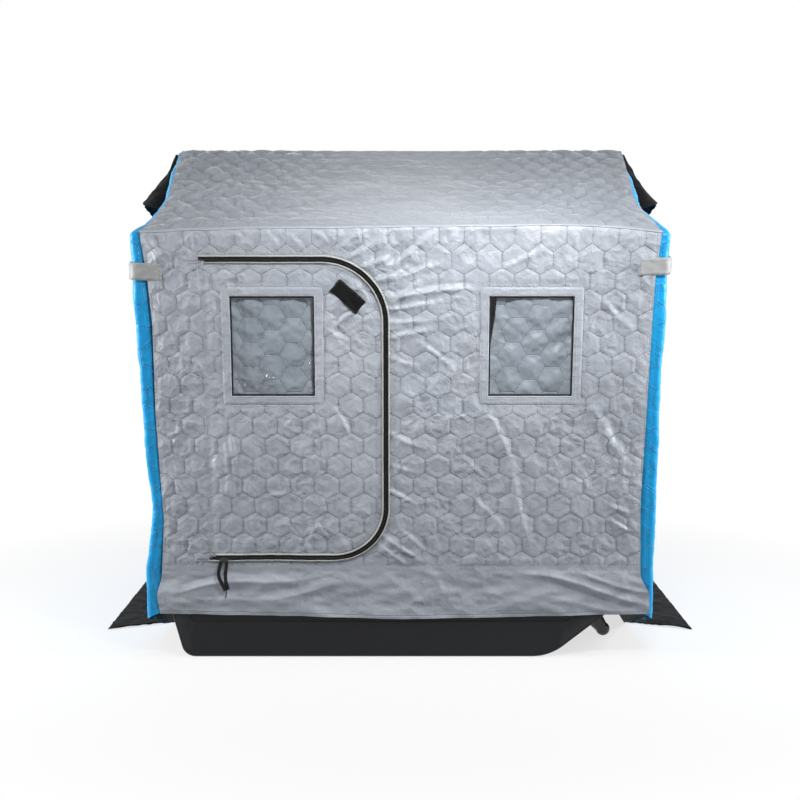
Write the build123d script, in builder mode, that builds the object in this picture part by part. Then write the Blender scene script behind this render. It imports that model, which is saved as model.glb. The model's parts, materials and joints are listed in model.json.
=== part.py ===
from math import atan2, cos, radians, sin, tan
import os

from build123d import *

os.makedirs("parts", exist_ok=True)

# Flip-over ice fishing shelter: a quilted tent on a towable sled.
# X runs along the sled towards its raised bow, -Y is the sled's side, Z is up from the ice.
# The tent's sizes are to the outer face of its fabric.

# tent form
half_width = 1020  # side walls
eave_y = 1074
eave_z = 1703
ridge_z = 2096
hem_y = 948  # near wall's hem, on the sled's side
hem_z = 190
side_foot_y = -430  # where the side wall's hem comes down to the ice
skirt_width = 250
skirt_tip = 110  # how far the skirt's front corner reaches past the wall's foot
far_foot_y = eave_y - skirt_width

# fabric and seams
quilt = 6
seam = 0.3  # between pieces that are stitched or clamped together
tape = 2  # webbing, zip tape and patches
film = 1
skirt_cloth = 3
corner_band = 40  # side fabric that wraps onto the near and far walls
band_top = 380  # top of the plain band along the near wall's hem

# door flap in the near wall, hinged by a fabric fold along its left edge
door_inset = 260  # from the tent's left side to the hinge fold
door_width = 705
door_bottom = 421
door_top = 1605
door_top_radius = 245
door_bottom_radius = 205
door_gap = 5  # between the zip's two tapes
zip_tape = 14
fold_radius = 2.2

# windows
window_width = 330
window_height = 390
window_level = 1270
door_window_inset = 265  # from the hinge fold to the middle of the window
wall_window_inset = 512  # from the tent's right side
far_window_inset = 520  # from both sides
window_overlap = 14  # film and blind past the opening
frame_width = 30
blind = 4

# door trimmings
patch_length = 137
patch_width = 65
patch_turn = -41
patch_inset = 145  # from the zip's upright run
patch_level = 1464
patch_corner = 4
pull_length = 140
pull_width = 13
pull_bend = -16
pull_thickness = 3
slider_length = 30
slider_width = 16
slider_corner = 4
slider_thickness = 5
slider_inset = 52  # from the hinge fold

# corner reflectors
reflector_width = 118
reflector_height = 67
reflector_level = 1570
reflector_wrap = 60

# vent hoods under the ridge ends
hood_top_z = 2080
hood_mouth_z = 1815
hood_reach = 150
hood_top_reach = 22
hood_spread = 2.0  # half width for each unit of reach
hood_cloth = 3
hood_gores = 12

# sled
sled_depth = 850
rim_z = 270
stern_rim_x = -945
stern_base_x = -872
bow_base_x = 606
bow_rim_x = 950
sled_wall = 4
rim_lip = 10
rim_height = 14
bow_radius = 200
stern_radius = 56
side_radius = 14
sled_draft = 1.0
step_z = 148
step_depth = 3
step_slant = 14
step_radius = 20
recess_stern_x = -856
recess_bow_x = 690

# poles
pole_radius = 12.5
pole_wall = 1.5
pivot_y = -330
pivot_z = 372
pole_start = 72  # from the pivot to the first end of each pole
bracket_plate = 5
bracket_radius = 100
bracket_foot = 90

# tow knobs on the bow
knob_radius = 28
knob_base_radius = 34
knob_neck_radius = 24
knob_reach = 82
knob_along = 238  # up the bow's slope from its foot
knob_inset = 56

# places that follow from the sizes above
lean = atan2(eave_y - hem_y, eave_z - hem_z)
slope = atan2(ridge_z - eave_z, eave_y)
far_lean = atan2(eave_y - far_foot_y, eave_z)
near_foot_y = hem_y - hem_z * tan(lean)
near_plane = Plane((0, -near_foot_y, 0), x_dir=(1, 0, 0), z_dir=(0, -cos(lean), -sin(lean)))
far_plane = Plane((0, far_foot_y, 0), x_dir=(-1, 0, 0), z_dir=(0, cos(far_lean), -sin(far_lean)))
hem_v = hem_z / cos(lean)
roof_step = quilt / sin(radians(90) - lean + slope)
wall_top_v = eave_z / cos(lean) - (quilt + seam) / sin(radians(90) - lean + slope)
far_top_v = eave_z / cos(far_lean) - (quilt + seam) / sin(radians(90) - far_lean + slope)
grey_half = half_width - corner_band - seam / 2
door_left = -half_width + door_inset
door_right = door_left + door_width
door_window_x = door_left + door_window_inset
wall_window_x = half_width - wall_window_inset
far_window_x = half_width - far_window_inset
patch_x = door_right - patch_inset
slider_x = door_left + slider_inset
door_height = door_top - door_bottom
door_x = (door_left + door_right) / 2
door_level = (door_top + door_bottom) / 2
door_hole_top = door_top + door_gap / 2
door_hole_bottom = door_bottom - door_gap / 2
door_hole_left = door_left - door_gap / 2
pole_x = half_width - quilt - seam - pole_radius


# near wall
with BuildPart() as near_wall_header:
    with BuildSketch(near_plane):
        with Locations((0, (door_hole_top + wall_top_v) / 2)):
            Rectangle(2 * grey_half, wall_top_v - door_hole_top)
    extrude(amount=-quilt)
near_wall_header.part.label = "near_wall_header"
export_step(near_wall_header.part, "parts/near_wall_header.step")

with BuildPart() as near_wall_sill:
    with BuildSketch(near_plane):
        with Locations((0, (band_top + door_hole_bottom) / 2)):
            Rectangle(2 * grey_half, door_hole_bottom - band_top)
    extrude(amount=-quilt)
near_wall_sill.part.label = "near_wall_sill"
export_step(near_wall_sill.part, "parts/near_wall_sill.step")

with BuildPart() as near_wall_hem:
    with BuildSketch(near_plane):
        with Locations((0, (hem_v + band_top - seam) / 2)):
            Rectangle(2 * grey_half, band_top - seam - hem_v)
    extrude(amount=-quilt)
near_wall_hem.part.label = "near_wall_hem"
export_step(near_wall_hem.part, "parts/near_wall_hem.step")

panel_height = door_hole_top - door_hole_bottom - 2 * seam
with BuildPart() as near_wall_left_strip:
    with BuildSketch(near_plane):
        with Locations(((door_hole_left - grey_half) / 2, door_level)):
            Rectangle(door_hole_left + grey_half, panel_height)
    extrude(amount=-quilt)
near_wall_left_strip.part.label = "near_wall_left_strip"
export_step(near_wall_left_strip.part, "parts/near_wall_left_strip.step")

# the zip's line, a D with its straight side on the hinge fold
with BuildSketch(near_plane) as door_line:
    with Locations((door_x, door_level)):
        Rectangle(door_width, door_height)
    zip_corners = door_line.vertices().group_by(Axis.X)[-1].sort_by(Axis.Y)
    fillet(zip_corners[0], radius=door_bottom_radius)
    fillet(door_line.vertices().group_by(Axis.Y)[-1].sort_by(Axis.X)[-1], radius=door_top_radius)

with BuildPart() as near_wall_right_panel:
    with BuildSketch(near_plane):
        with Locations((grey_half / 2 + door_x / 2, door_level)):
            Rectangle(grey_half - door_x, panel_height)
        offset(door_line.sketch_local, amount=door_gap / 2, kind=Kind.INTERSECTION, mode=Mode.SUBTRACT)
        with Locations((wall_window_x, window_level)):
            Rectangle(window_width, window_height, mode=Mode.SUBTRACT)
    extrude(amount=-quilt)
near_wall_right_panel.part.label = "near_wall_right_panel"
export_step(near_wall_right_panel.part, "parts/near_wall_right_panel.step")

with BuildPart() as near_corner_bands:
    with BuildSketch(near_plane):
        with Locations((half_width - corner_band / 2, (hem_v + wall_top_v) / 2)):
            Rectangle(corner_band - seam / 2, wall_top_v - hem_v)
        mirror(about=Plane.YZ)
    extrude(amount=-quilt)
near_corner_bands.part.label = "near_corner_bands"
export_step(near_corner_bands.part, "parts/near_corner_bands.step")

with BuildPart() as fold_seam:
    fold_foot = near_plane.from_local_coords((door_left, door_bottom, 0))
    with BuildSketch(Plane(fold_foot, z_dir=near_plane.y_dir)):
        Circle(fold_radius)
    extrude(amount=door_height)
fold_seam.part.label = "fold_seam"
export_step(fold_seam.part, "parts/fold_seam.step")

with BuildPart() as zip_tape_wall:
    with BuildSketch(near_plane.offset(seam)):
        offset(door_line.sketch_local, amount=door_gap / 2 + zip_tape, kind=Kind.INTERSECTION)
        offset(door_line.sketch_local, amount=door_gap / 2, kind=Kind.INTERSECTION, mode=Mode.SUBTRACT)
        with Locations((door_left, door_level)):
            Rectangle(2 * zip_tape, 2 * door_height, align=(Align.MAX, Align.CENTER), mode=Mode.SUBTRACT)
    extrude(amount=tape)
zip_tape_wall.part.label = "zip_tape_wall"
export_step(zip_tape_wall.part, "parts/zip_tape_wall.step")

# window in the near wall: film over the opening, webbing frame on top, blind behind
with BuildPart() as wall_window_film:
    with BuildSketch(near_plane.offset(seam)):
        with Locations((wall_window_x, window_level)):
            Rectangle(window_width + 2 * window_overlap, window_height + 2 * window_overlap)
    extrude(amount=film)
wall_window_film.part.label = "wall_window_film"
export_step(wall_window_film.part, "parts/wall_window_film.step")

with BuildPart() as wall_window_frame:
    with BuildSketch(near_plane.offset(film + 2 * seam)):
        with Locations((wall_window_x, window_level)):
            Rectangle(window_width + 2 * frame_width, window_height + 2 * frame_width)
            Rectangle(window_width, window_height, mode=Mode.SUBTRACT)
    extrude(amount=tape)
wall_window_frame.part.label = "wall_window_frame"
export_step(wall_window_frame.part, "parts/wall_window_frame.step")

with BuildPart() as wall_window_blind:
    with BuildSketch(near_plane.offset(-quilt - seam)):
        with Locations((wall_window_x, window_level)):
            Rectangle(window_width + 2 * window_overlap, window_height + 2 * window_overlap)
    extrude(amount=-blind)
wall_window_blind.part.label = "wall_window_blind"
export_step(wall_window_blind.part, "parts/wall_window_blind.step")


# door
with BuildPart() as door_flap:
    with BuildSketch(near_plane):
        offset(door_line.sketch_local, amount=-door_gap / 2, kind=Kind.INTERSECTION)
        with Locations((door_window_x, window_level)):
            Rectangle(window_width, window_height, mode=Mode.SUBTRACT)
    extrude(amount=-quilt)
door_flap.part.label = "door_flap"
export_step(door_flap.part, "parts/door_flap.step")

with BuildPart() as zip_tape_door:
    with BuildSketch(near_plane.offset(seam)):
        offset(door_line.sketch_local, amount=-door_gap / 2, kind=Kind.INTERSECTION)
        tape_inset = door_gap / 2 + zip_tape
        offset(door_line.sketch_local, amount=-tape_inset, kind=Kind.INTERSECTION, mode=Mode.SUBTRACT)
        with Locations((door_left, door_level)):
            Rectangle(2 * zip_tape, 2 * door_height, mode=Mode.SUBTRACT)
    extrude(amount=tape)
zip_tape_door.part.label = "zip_tape_door"
export_step(zip_tape_door.part, "parts/zip_tape_door.step")

with BuildPart() as door_window_film:
    with BuildSketch(near_plane.offset(seam)):
        with Locations((door_window_x, window_level)):
            Rectangle(window_width + 2 * window_overlap, window_height + 2 * window_overlap)
    extrude(amount=film)
door_window_film.part.label = "door_window_film"
export_step(door_window_film.part, "parts/door_window_film.step")

with BuildPart() as door_window_frame:
    with BuildSketch(near_plane.offset(film + 2 * seam)):
        with Locations((door_window_x, window_level)):
            Rectangle(window_width + 2 * frame_width, window_height + 2 * frame_width)
            Rectangle(window_width, window_height, mode=Mode.SUBTRACT)
    extrude(amount=tape)
door_window_frame.part.label = "door_window_frame"
export_step(door_window_frame.part, "parts/door_window_frame.step")

with BuildPart() as door_window_blind:
    with BuildSketch(near_plane.offset(-quilt - seam)):
        with Locations((door_window_x, window_level)):
            Rectangle(window_width + 2 * window_overlap, window_height + 2 * window_overlap)
    extrude(amount=-blind)
door_window_blind.part.label = "door_window_blind"
export_step(door_window_blind.part, "parts/door_window_blind.step")

with BuildPart() as door_patch:
    with BuildSketch(near_plane.offset(seam)):
        with Locations(Location((patch_x, patch_level, 0), patch_turn)):
            RectangleRounded(patch_length, patch_width, patch_corner)
    extrude(amount=tape)
door_patch.part.label = "door_patch"
export_step(door_patch.part, "parts/door_patch.step")

with BuildPart() as zip_slider:
    with BuildSketch(near_plane.offset(tape + 2 * seam)):
        with Locations((slider_x, door_bottom + slider_width / 2 + door_gap / 2)):
            RectangleRounded(slider_length, slider_width, slider_corner)
    extrude(amount=slider_thickness)
zip_slider.part.label = "zip_slider"
export_step(zip_slider.part, "parts/zip_slider.step")

with BuildPart() as zip_pull:
    with BuildSketch(near_plane.offset(tape + slider_thickness + 3 * seam)):
        with BuildLine():
            pull_top = (slider_x, door_bottom + slider_width / 2)
            pull_middle = (slider_x + pull_bend, pull_top[1] - pull_length / 2)
            Polyline(pull_top, pull_middle, (slider_x, pull_top[1] - pull_length))
        trace(line_width=pull_width)
    extrude(amount=pull_thickness)
zip_pull.part.label = "zip_pull"
export_step(zip_pull.part, "parts/zip_pull.step")


# roof and side walls
ridge_edge_z = ridge_z - seam / 2 * tan(slope)
with BuildPart() as roof_near:
    with BuildSketch(Plane.YZ):
        with BuildLine():
            Polyline(
                (-eave_y, eave_z),
                (-seam / 2, ridge_edge_z),
                (-seam / 2, ridge_edge_z - quilt / cos(slope)),
                (-eave_y + roof_step * sin(lean), eave_z - roof_step * cos(lean)),
                close=True,
            )
        make_face()
    extrude(amount=half_width, both=True)
roof_near.part.label = "roof_near"
export_step(roof_near.part, "parts/roof_near.step")

with BuildPart() as roof_far:
    mirror(roof_near.part, about=Plane.XZ)
roof_far.part.label = "roof_far"
export_step(roof_far.part, "parts/roof_far.step")

with BuildPart() as side_wall_right:
    with BuildSketch(Plane.YZ.offset(half_width)):
        with BuildLine():
            Polyline(
                (-near_foot_y, 0), (-eave_y, eave_z), (0, ridge_z), (eave_y, eave_z), (far_foot_y, 0),
                (far_foot_y, -eave_z), (-near_foot_y, -eave_z), close=True,
            )
        make_face()
        offset(amount=-quilt - seam, kind=Kind.INTERSECTION)
        with BuildLine():
            Polyline(
                (-eave_y, hem_z), (-hem_y, hem_z), (side_foot_y, 0), (eave_y, 0),
                (eave_y, ridge_z), (-eave_y, ridge_z), close=True,
            )
        make_face(mode=Mode.INTERSECT)
    extrude(amount=-quilt)
side_wall_right.part.label = "side_wall_right"
export_step(side_wall_right.part, "parts/side_wall_right.step")

with BuildPart() as side_wall_left:
    mirror(side_wall_right.part, about=Plane.YZ)
side_wall_left.part.label = "side_wall_left"
export_step(side_wall_left.part, "parts/side_wall_left.step")

with BuildPart() as corner_reflectors:
    reflector_origin = near_plane.from_local_coords((0, reflector_level, 0))
    with BuildSketch(Plane(reflector_origin, x_dir=(1, 0, 0), z_dir=near_plane.y_dir)):
        with Locations((half_width + seam + film, -seam - film)):
            Rectangle(reflector_width, film, align=(Align.MAX, Align.MIN))
            Rectangle(film, reflector_wrap, align=(Align.MAX, Align.MIN))
        mirror(about=Plane.YZ)
    extrude(amount=reflector_height / 2, both=True)
corner_reflectors.part.label = "corner_reflectors"
export_step(corner_reflectors.part, "parts/corner_reflectors.step")


# far wall with two windows
with BuildPart() as far_wall:
    with BuildSketch(far_plane):
        with Locations((0, far_top_v / 2)):
            Rectangle(2 * grey_half, far_top_v)
        with Locations((-far_window_x, window_level), (far_window_x, window_level)):
            Rectangle(window_width, window_height, mode=Mode.SUBTRACT)
    extrude(amount=-quilt)
far_wall.part.label = "far_wall"
export_step(far_wall.part, "parts/far_wall.step")

with BuildPart() as far_corner_bands:
    with BuildSketch(far_plane):
        with Locations((half_width - corner_band / 2, far_top_v / 2)):
            Rectangle(corner_band - seam / 2, far_top_v)
        mirror(about=Plane.YZ)
    extrude(amount=-quilt)
far_corner_bands.part.label = "far_corner_bands"
export_step(far_corner_bands.part, "parts/far_corner_bands.step")

with BuildPart() as far_window_films:
    with BuildSketch(far_plane.offset(seam)):
        with Locations((-far_window_x, window_level), (far_window_x, window_level)):
            Rectangle(window_width + 2 * window_overlap, window_height + 2 * window_overlap)
    extrude(amount=film)
far_window_films.part.label = "far_window_films"
export_step(far_window_films.part, "parts/far_window_films.step")

with BuildPart() as far_window_frames:
    with BuildSketch(far_plane.offset(film + 2 * seam)):
        with Locations((-far_window_x, window_level), (far_window_x, window_level)):
            Rectangle(window_width + 2 * frame_width, window_height + 2 * frame_width)
            Rectangle(window_width, window_height, mode=Mode.SUBTRACT)
    extrude(amount=tape)
far_window_frames.part.label = "far_window_frames"
export_step(far_window_frames.part, "parts/far_window_frames.step")

with BuildPart() as far_window_blinds:
    with BuildSketch(far_plane.offset(-quilt - seam)):
        with Locations((-far_window_x, window_level), (far_window_x, window_level)):
            Rectangle(window_width + 2 * window_overlap, window_height + 2 * window_overlap)
    extrude(amount=-blind)
far_window_blinds.part.label = "far_window_blinds"
export_step(far_window_blinds.part, "parts/far_window_blinds.step")


# vent hood: flared awning, open at its mouth and against the wall
turns = [radians(180 * n / hood_gores) for n in range(hood_gores + 1)]
mouth_line = [Vector(sin(turn), -hood_spread * cos(turn)) * hood_reach for turn in turns]
hood_rise = Vector(0, 0, hood_top_z - hood_mouth_z)
hood_foot = Vector(half_width + seam, 0, hood_mouth_z)
with BuildPart() as vent_hood_right:
    with BuildSketch(Plane(hood_foot)):
        with BuildLine():
            Polyline(mouth_line, close=True)
        make_face()
    extrude(amount=hood_rise.Z)
    for near, far in zip(mouth_line, mouth_line[1:]):
        top = near * (hood_top_reach / hood_reach) + hood_rise
        outward = (far - near).cross(top - near)
        split(bisect_by=Plane(hood_foot + near, z_dir=outward), keep=Keep.BOTTOM)
    open_faces = (vent_hood_right.faces().sort_by(Axis.Z)[0], vent_hood_right.faces().sort_by(Axis.X)[0])
    offset(amount=-hood_cloth, openings=open_faces)
vent_hood_right.part.label = "vent_hood_right"
export_step(vent_hood_right.part, "parts/vent_hood_right.step")

with BuildPart() as vent_hood_left:
    mirror(vent_hood_right.part, about=Plane.YZ)
vent_hood_left.part.label = "vent_hood_left"
export_step(vent_hood_left.part, "parts/vent_hood_left.step")


# snow skirts lying on the ice
skirt_x = half_width + skirt_width
with BuildPart() as skirt_right:
    with BuildSketch():
        with BuildLine():
            Polyline(
                (half_width + seam, side_foot_y),
                (skirt_x, side_foot_y - skirt_tip),
                (skirt_x, eave_y - seam),
                (half_width + seam, far_foot_y - seam),
                close=True,
            )
        make_face()
    extrude(amount=skirt_cloth)
skirt_right.part.label = "skirt_right"
export_step(skirt_right.part, "parts/skirt_right.step")

with BuildPart() as skirt_left:
    mirror(skirt_right.part, about=Plane.YZ)
skirt_left.part.label = "skirt_left"
export_step(skirt_left.part, "parts/skirt_left.step")

skirt_seam_y = far_foot_y + seam + skirt_cloth * tan(far_lean)
with BuildPart() as skirt_far:
    with BuildSketch():
        with BuildLine():
            Polyline(
                (-half_width, skirt_seam_y),
                (half_width, skirt_seam_y),
                (skirt_x - seam, eave_y),
                (-skirt_x + seam, eave_y),
                close=True,
            )
        make_face()
    extrude(amount=skirt_cloth)
skirt_far.part.label = "skirt_far"
export_step(skirt_far.part, "parts/skirt_far.step")


# sled hull
hull_near_y = (quilt + seam) / cos(lean) - near_foot_y - (rim_z - rim_height) * tan(lean) + rim_lip
hull_far_y = hull_near_y + sled_depth
hull_mid_y = hull_near_y + sled_depth / 2
rim_length = bow_rim_x - stern_rim_x
rim_plane = Plane.XY.offset(rim_z)
with BuildPart() as sled_tub:
    with BuildSketch(Plane.XZ.offset(-hull_far_y)):
        with BuildLine():
            Polyline(
                (stern_base_x, 0), (bow_base_x, 0), (bow_rim_x, rim_z), (stern_rim_x, rim_z), close=True
            )
        make_face()
    extrude(amount=sled_depth)
    hull_sides = sled_tub.faces().sort_by(Axis.Y)
    draft([hull_sides[0], hull_sides[-1]], neutral_plane=rim_plane, angle=-sled_draft)
    fillet(sled_tub.edges().filter_by(Axis.Y).group_by(Axis.Z)[0].sort_by(Axis.X)[-1], radius=bow_radius)
    fillet(sled_tub.edges().filter_by(Axis.Y).group_by(Axis.Z)[0].sort_by(Axis.X)[0], radius=stern_radius)
    rounded = sled_tub.edges().filter_by(Axis.Y, reverse=True).group_by(Axis.Z)[:-1]
    fillet([edge for level in rounded for edge in level], radius=side_radius)
    for side_y, turn in ((hull_near_y, -1), (hull_far_y, 1)):
        outward = (0, turn * cos(radians(sled_draft)), -sin(radians(sled_draft)))
        with BuildSketch(Plane((0, side_y, rim_z), x_dir=(1, 0, 0), z_dir=outward)):
            with BuildLine():
                FilletPolyline(
                    (recess_stern_x, rim_height * turn),
                    (recess_stern_x + step_slant, turn * (rim_z - step_z)),
                    (recess_bow_x, turn * (rim_z - step_z)),
                    (recess_bow_x, rim_height * turn),
                    radius=step_radius,
                    close=True,
                )
            make_face()
        extrude(amount=-step_depth, mode=Mode.SUBTRACT)
    offset(amount=-sled_wall, openings=sled_tub.faces().sort_by(Axis.Z)[-1])
    with BuildSketch(rim_plane):
        with Locations(((stern_rim_x + bow_rim_x) / 2, hull_mid_y)):
            RectangleRounded(
                rim_length + 2 * rim_lip, sled_depth + 2 * rim_lip, side_radius + rim_lip
            )
            RectangleRounded(
                rim_length - sled_wall,
                sled_depth - sled_wall,
                side_radius - sled_wall / 2,
                mode=Mode.SUBTRACT,
            )
    extrude(amount=-rim_height)
    chamfer(sled_tub.faces().sort_by(Axis.Z)[-1].outer_wire().edges(), length=rim_lip / 2)
sled_tub.part.label = "sled_tub"
export_step(sled_tub.part, "parts/sled_tub.step")

# rounded knob for the tow rope on each side of the bow, standing square to its slope
bow_angle = atan2(rim_z, bow_rim_x - bow_base_x)
bow_up = Vector(cos(bow_angle), 0, sin(bow_angle))
bow_out = Vector(sin(bow_angle), 0, -cos(bow_angle))
bow_foot = Vector(bow_base_x, hull_near_y + knob_inset, 0)
knob_plane = Plane(bow_foot + bow_up * knob_along, x_dir=bow_out, z_dir=(0, 1, 0))
knob_centre = knob_reach - knob_radius
with BuildPart() as tow_knobs:
    with BuildSketch(knob_plane):
        with BuildLine():
            Polyline(
                (seam, 0),
                (seam, knob_base_radius),
                (knob_centre, knob_neck_radius),
                (knob_centre, 0),
                close=True,
            )
        make_face()
        with Locations((knob_centre, 0)):
            Circle(knob_radius)
        split(bisect_by=Plane.XZ, keep=Keep.BOTTOM)
    revolve(axis=Axis(knob_plane.origin, bow_out))
    mirror(about=Plane.XZ.offset(-hull_mid_y))
tow_knobs.part.label = "tow_knobs"
export_step(tow_knobs.part, "parts/tow_knobs.step")


# poles: straight tubes that fan out from a pivot at each end of the sled
# rail centres as (y, z), each tube's radius clear of the fabric on two sides
tube_reach = quilt + seam + pole_radius
near_reach = tube_reach / sin(radians(90) - lean + slope)
far_reach = tube_reach / sin(radians(90) - far_lean + slope)
near_rail_y = -eave_y + near_reach * (cos(slope) + sin(lean))
near_rail_z = eave_z + near_reach * (sin(slope) - cos(lean))
far_rail_y = eave_y - far_reach * (cos(slope) + sin(far_lean))
far_rail_z = eave_z + far_reach * (sin(slope) - cos(far_lean))
ridge_rail_z = ridge_z - tube_reach / cos(slope)
base_rail_y = far_foot_y - tube_reach / cos(far_lean) + pole_radius * tan(far_lean)
rail_half = pole_x - pole_radius - seam

with BuildPart() as near_poles:
    run = Vector(0, near_rail_y - pivot_y, near_rail_z - pivot_z)
    with BuildSketch(Plane(Vector(pole_x, pivot_y, pivot_z) + run.normalized() * pole_start, z_dir=run)):
        Circle(pole_radius)
        Circle(pole_radius - pole_wall, mode=Mode.SUBTRACT)
    extrude(amount=run.length - pole_start)
    mirror(about=Plane.YZ)
near_poles.part.label = "near_poles"
export_step(near_poles.part, "parts/near_poles.step")

with BuildPart() as ridge_poles:
    run = Vector(0, -pivot_y, ridge_rail_z - pivot_z)
    with BuildSketch(Plane(Vector(pole_x, pivot_y, pivot_z) + run.normalized() * pole_start, z_dir=run)):
        Circle(pole_radius)
        Circle(pole_radius - pole_wall, mode=Mode.SUBTRACT)
    extrude(amount=run.length - pole_start)
    mirror(about=Plane.YZ)
ridge_poles.part.label = "ridge_poles"
export_step(ridge_poles.part, "parts/ridge_poles.step")

with BuildPart() as far_poles:
    run = Vector(0, far_rail_y - pivot_y, far_rail_z - pivot_z)
    with BuildSketch(Plane(Vector(pole_x, pivot_y, pivot_z) + run.normalized() * pole_start, z_dir=run)):
        Circle(pole_radius)
        Circle(pole_radius - pole_wall, mode=Mode.SUBTRACT)
    extrude(amount=run.length - pole_start)
    mirror(about=Plane.YZ)
far_poles.part.label = "far_poles"
export_step(far_poles.part, "parts/far_poles.step")

with BuildPart() as base_poles:
    run = Vector(0, base_rail_y - pivot_y, pole_radius - pivot_z)
    with BuildSketch(Plane(Vector(pole_x, pivot_y, pivot_z) + run.normalized() * pole_start, z_dir=run)):
        Circle(pole_radius)
        Circle(pole_radius - pole_wall, mode=Mode.SUBTRACT)
    extrude(amount=run.length - pole_start)
    mirror(about=Plane.YZ)
base_poles.part.label = "base_poles"
export_step(base_poles.part, "parts/base_poles.step")

with BuildPart() as eave_rails:
    with BuildSketch(Plane.YZ):
        with Locations((near_rail_y, near_rail_z), (far_rail_y, far_rail_z)):
            Circle(pole_radius)
            Circle(pole_radius - pole_wall, mode=Mode.SUBTRACT)
    extrude(amount=rail_half, both=True)
eave_rails.part.label = "eave_rails"
export_step(eave_rails.part, "parts/eave_rails.step")

with BuildPart() as ridge_rail:
    with BuildSketch(Plane.YZ):
        with Locations((0, ridge_rail_z)):
            Circle(pole_radius)
            Circle(pole_radius - pole_wall, mode=Mode.SUBTRACT)
    extrude(amount=rail_half, both=True)
ridge_rail.part.label = "ridge_rail"
export_step(ridge_rail.part, "parts/ridge_rail.step")

with BuildPart() as base_rail:
    with BuildSketch(Plane.YZ):
        with Locations((base_rail_y, pole_radius)):
            Circle(pole_radius)
            Circle(pole_radius - pole_wall, mode=Mode.SUBTRACT)
    extrude(amount=rail_half, both=True)
base_rail.part.label = "base_rail"
export_step(base_rail.part, "parts/base_rail.step")

# hub plate on each end of the sled's rim, with a foot that lies on it
plate_x = pole_x - pole_radius - seam
with BuildPart() as pivot_brackets:
    with BuildSketch(Plane.YZ.offset(plate_x)):
        with Locations((pivot_y, pivot_z)):
            Circle(bracket_radius)
        with Locations((pivot_y, rim_z + seam)):
            Rectangle(2 * bracket_radius, pivot_z - rim_z - seam, align=(Align.CENTER, Align.MIN))
            Rectangle(
                4 * bracket_radius, 2 * bracket_radius, align=(Align.CENTER, Align.MAX), mode=Mode.SUBTRACT
            )
    extrude(amount=-bracket_plate)
    with BuildSketch(Plane.XY.offset(rim_z + seam)):
        with Locations((plate_x, pivot_y)):
            Rectangle(bracket_foot, 2 * bracket_radius, align=(Align.MAX, Align.CENTER))
    extrude(amount=bracket_plate)
    mirror(about=Plane.YZ)
pivot_brackets.part.label = "pivot_brackets"
export_step(pivot_brackets.part, "parts/pivot_brackets.step")
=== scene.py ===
import json
import math

import bmesh
import bpy
import numpy as np
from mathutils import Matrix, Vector


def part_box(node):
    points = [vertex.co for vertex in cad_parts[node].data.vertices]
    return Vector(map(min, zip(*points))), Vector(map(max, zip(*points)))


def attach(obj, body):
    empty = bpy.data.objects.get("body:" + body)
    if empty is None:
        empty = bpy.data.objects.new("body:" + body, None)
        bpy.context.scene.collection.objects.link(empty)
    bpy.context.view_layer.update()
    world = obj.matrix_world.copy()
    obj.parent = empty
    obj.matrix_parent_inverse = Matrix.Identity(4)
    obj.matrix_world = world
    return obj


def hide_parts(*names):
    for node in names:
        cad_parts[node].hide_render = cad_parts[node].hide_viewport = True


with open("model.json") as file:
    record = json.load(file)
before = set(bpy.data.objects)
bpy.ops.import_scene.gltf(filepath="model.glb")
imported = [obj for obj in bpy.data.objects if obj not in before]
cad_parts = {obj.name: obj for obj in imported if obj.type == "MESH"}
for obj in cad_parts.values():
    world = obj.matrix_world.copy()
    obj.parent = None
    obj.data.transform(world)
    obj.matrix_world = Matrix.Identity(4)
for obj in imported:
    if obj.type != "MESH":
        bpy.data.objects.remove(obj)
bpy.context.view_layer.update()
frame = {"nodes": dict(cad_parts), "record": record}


# places taken from the frame
def nodeBox(name):
    low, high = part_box(name)
    return np.array(low), np.array(high)


# each wall has a flat pattern: u runs across it and v up its slope, both in metres
wallThick = 0.006
skirtFlare = 0.11   # how much further towards -Y a side skirt's outer corner reaches than its inner one
hinge = frame["record"]["behaviour"]["joints"][0]
hingePoint, wallUp = np.array(hinge["pos_m"]), -np.array(hinge["axis"])
wallFoot = hingePoint - wallUp * hingePoint[2] / wallUp[2]

halfWidth = nodeBox("roof_near")[1][0]
eaveY = -nodeBox("roof_near")[0][1]
ridgeZ = nodeBox("roof_near")[1][2]
eaveV = (eaveY + wallFoot[1]) / -wallUp[1]
eaveZ = eaveV * wallUp[2]
hemV = nodeBox("near_wall_hem")[0][2] / wallUp[2]
bandV = nodeBox("near_wall_hem")[1][2] / wallUp[2]
farFootY = nodeBox("far_wall")[0][1] + wallThick
farUp = np.array([0, eaveY - farFootY, eaveZ]) / math.hypot(eaveY - farFootY, eaveZ)
farTopV = math.hypot(eaveY - farFootY, eaveZ)
roofRun = math.hypot(eaveY, ridgeZ - eaveZ)
roofSlope = math.atan2(ridgeZ - eaveZ, eaveY)
sideFootY = nodeBox("skirt_right")[0][1] + skirtFlare
print("frame read", round(eaveZ, 3), round(ridgeZ, 3))


# colours are written as sRGB hex
def linearColour(code):
    parts = [int(code[i:i + 2], 16) / 255 for i in (1, 3, 5)]
    return [p / 12.92 if p <= 0.04045 else ((p + 0.055) / 1.055) ** 2.4 for p in parts] + [1.0]


def addNode(tree, kind, values=None, out=0, **settings):
    node = tree.nodes.new("ShaderNode" + kind)
    for name, value in settings.items():
        setattr(node, name, value)
    for name, value in (values or {}).items():
        socket = node.inputs[name]
        if isinstance(value, bpy.types.NodeSocket):
            tree.links.new(value, socket)
        else:
            socket.default_value = value
    return node.outputs[out] if len(node.outputs) else node


def newMaterial(name):
    material = bpy.data.materials.new(name)
    material.use_nodes = True
    tree = material.node_tree
    tree.nodes.clear()
    return material, tree


def finish(tree, values, kind="BsdfPrincipled"):
    addNode(tree, "OutputMaterial", {0: addNode(tree, kind, values)})


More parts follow.
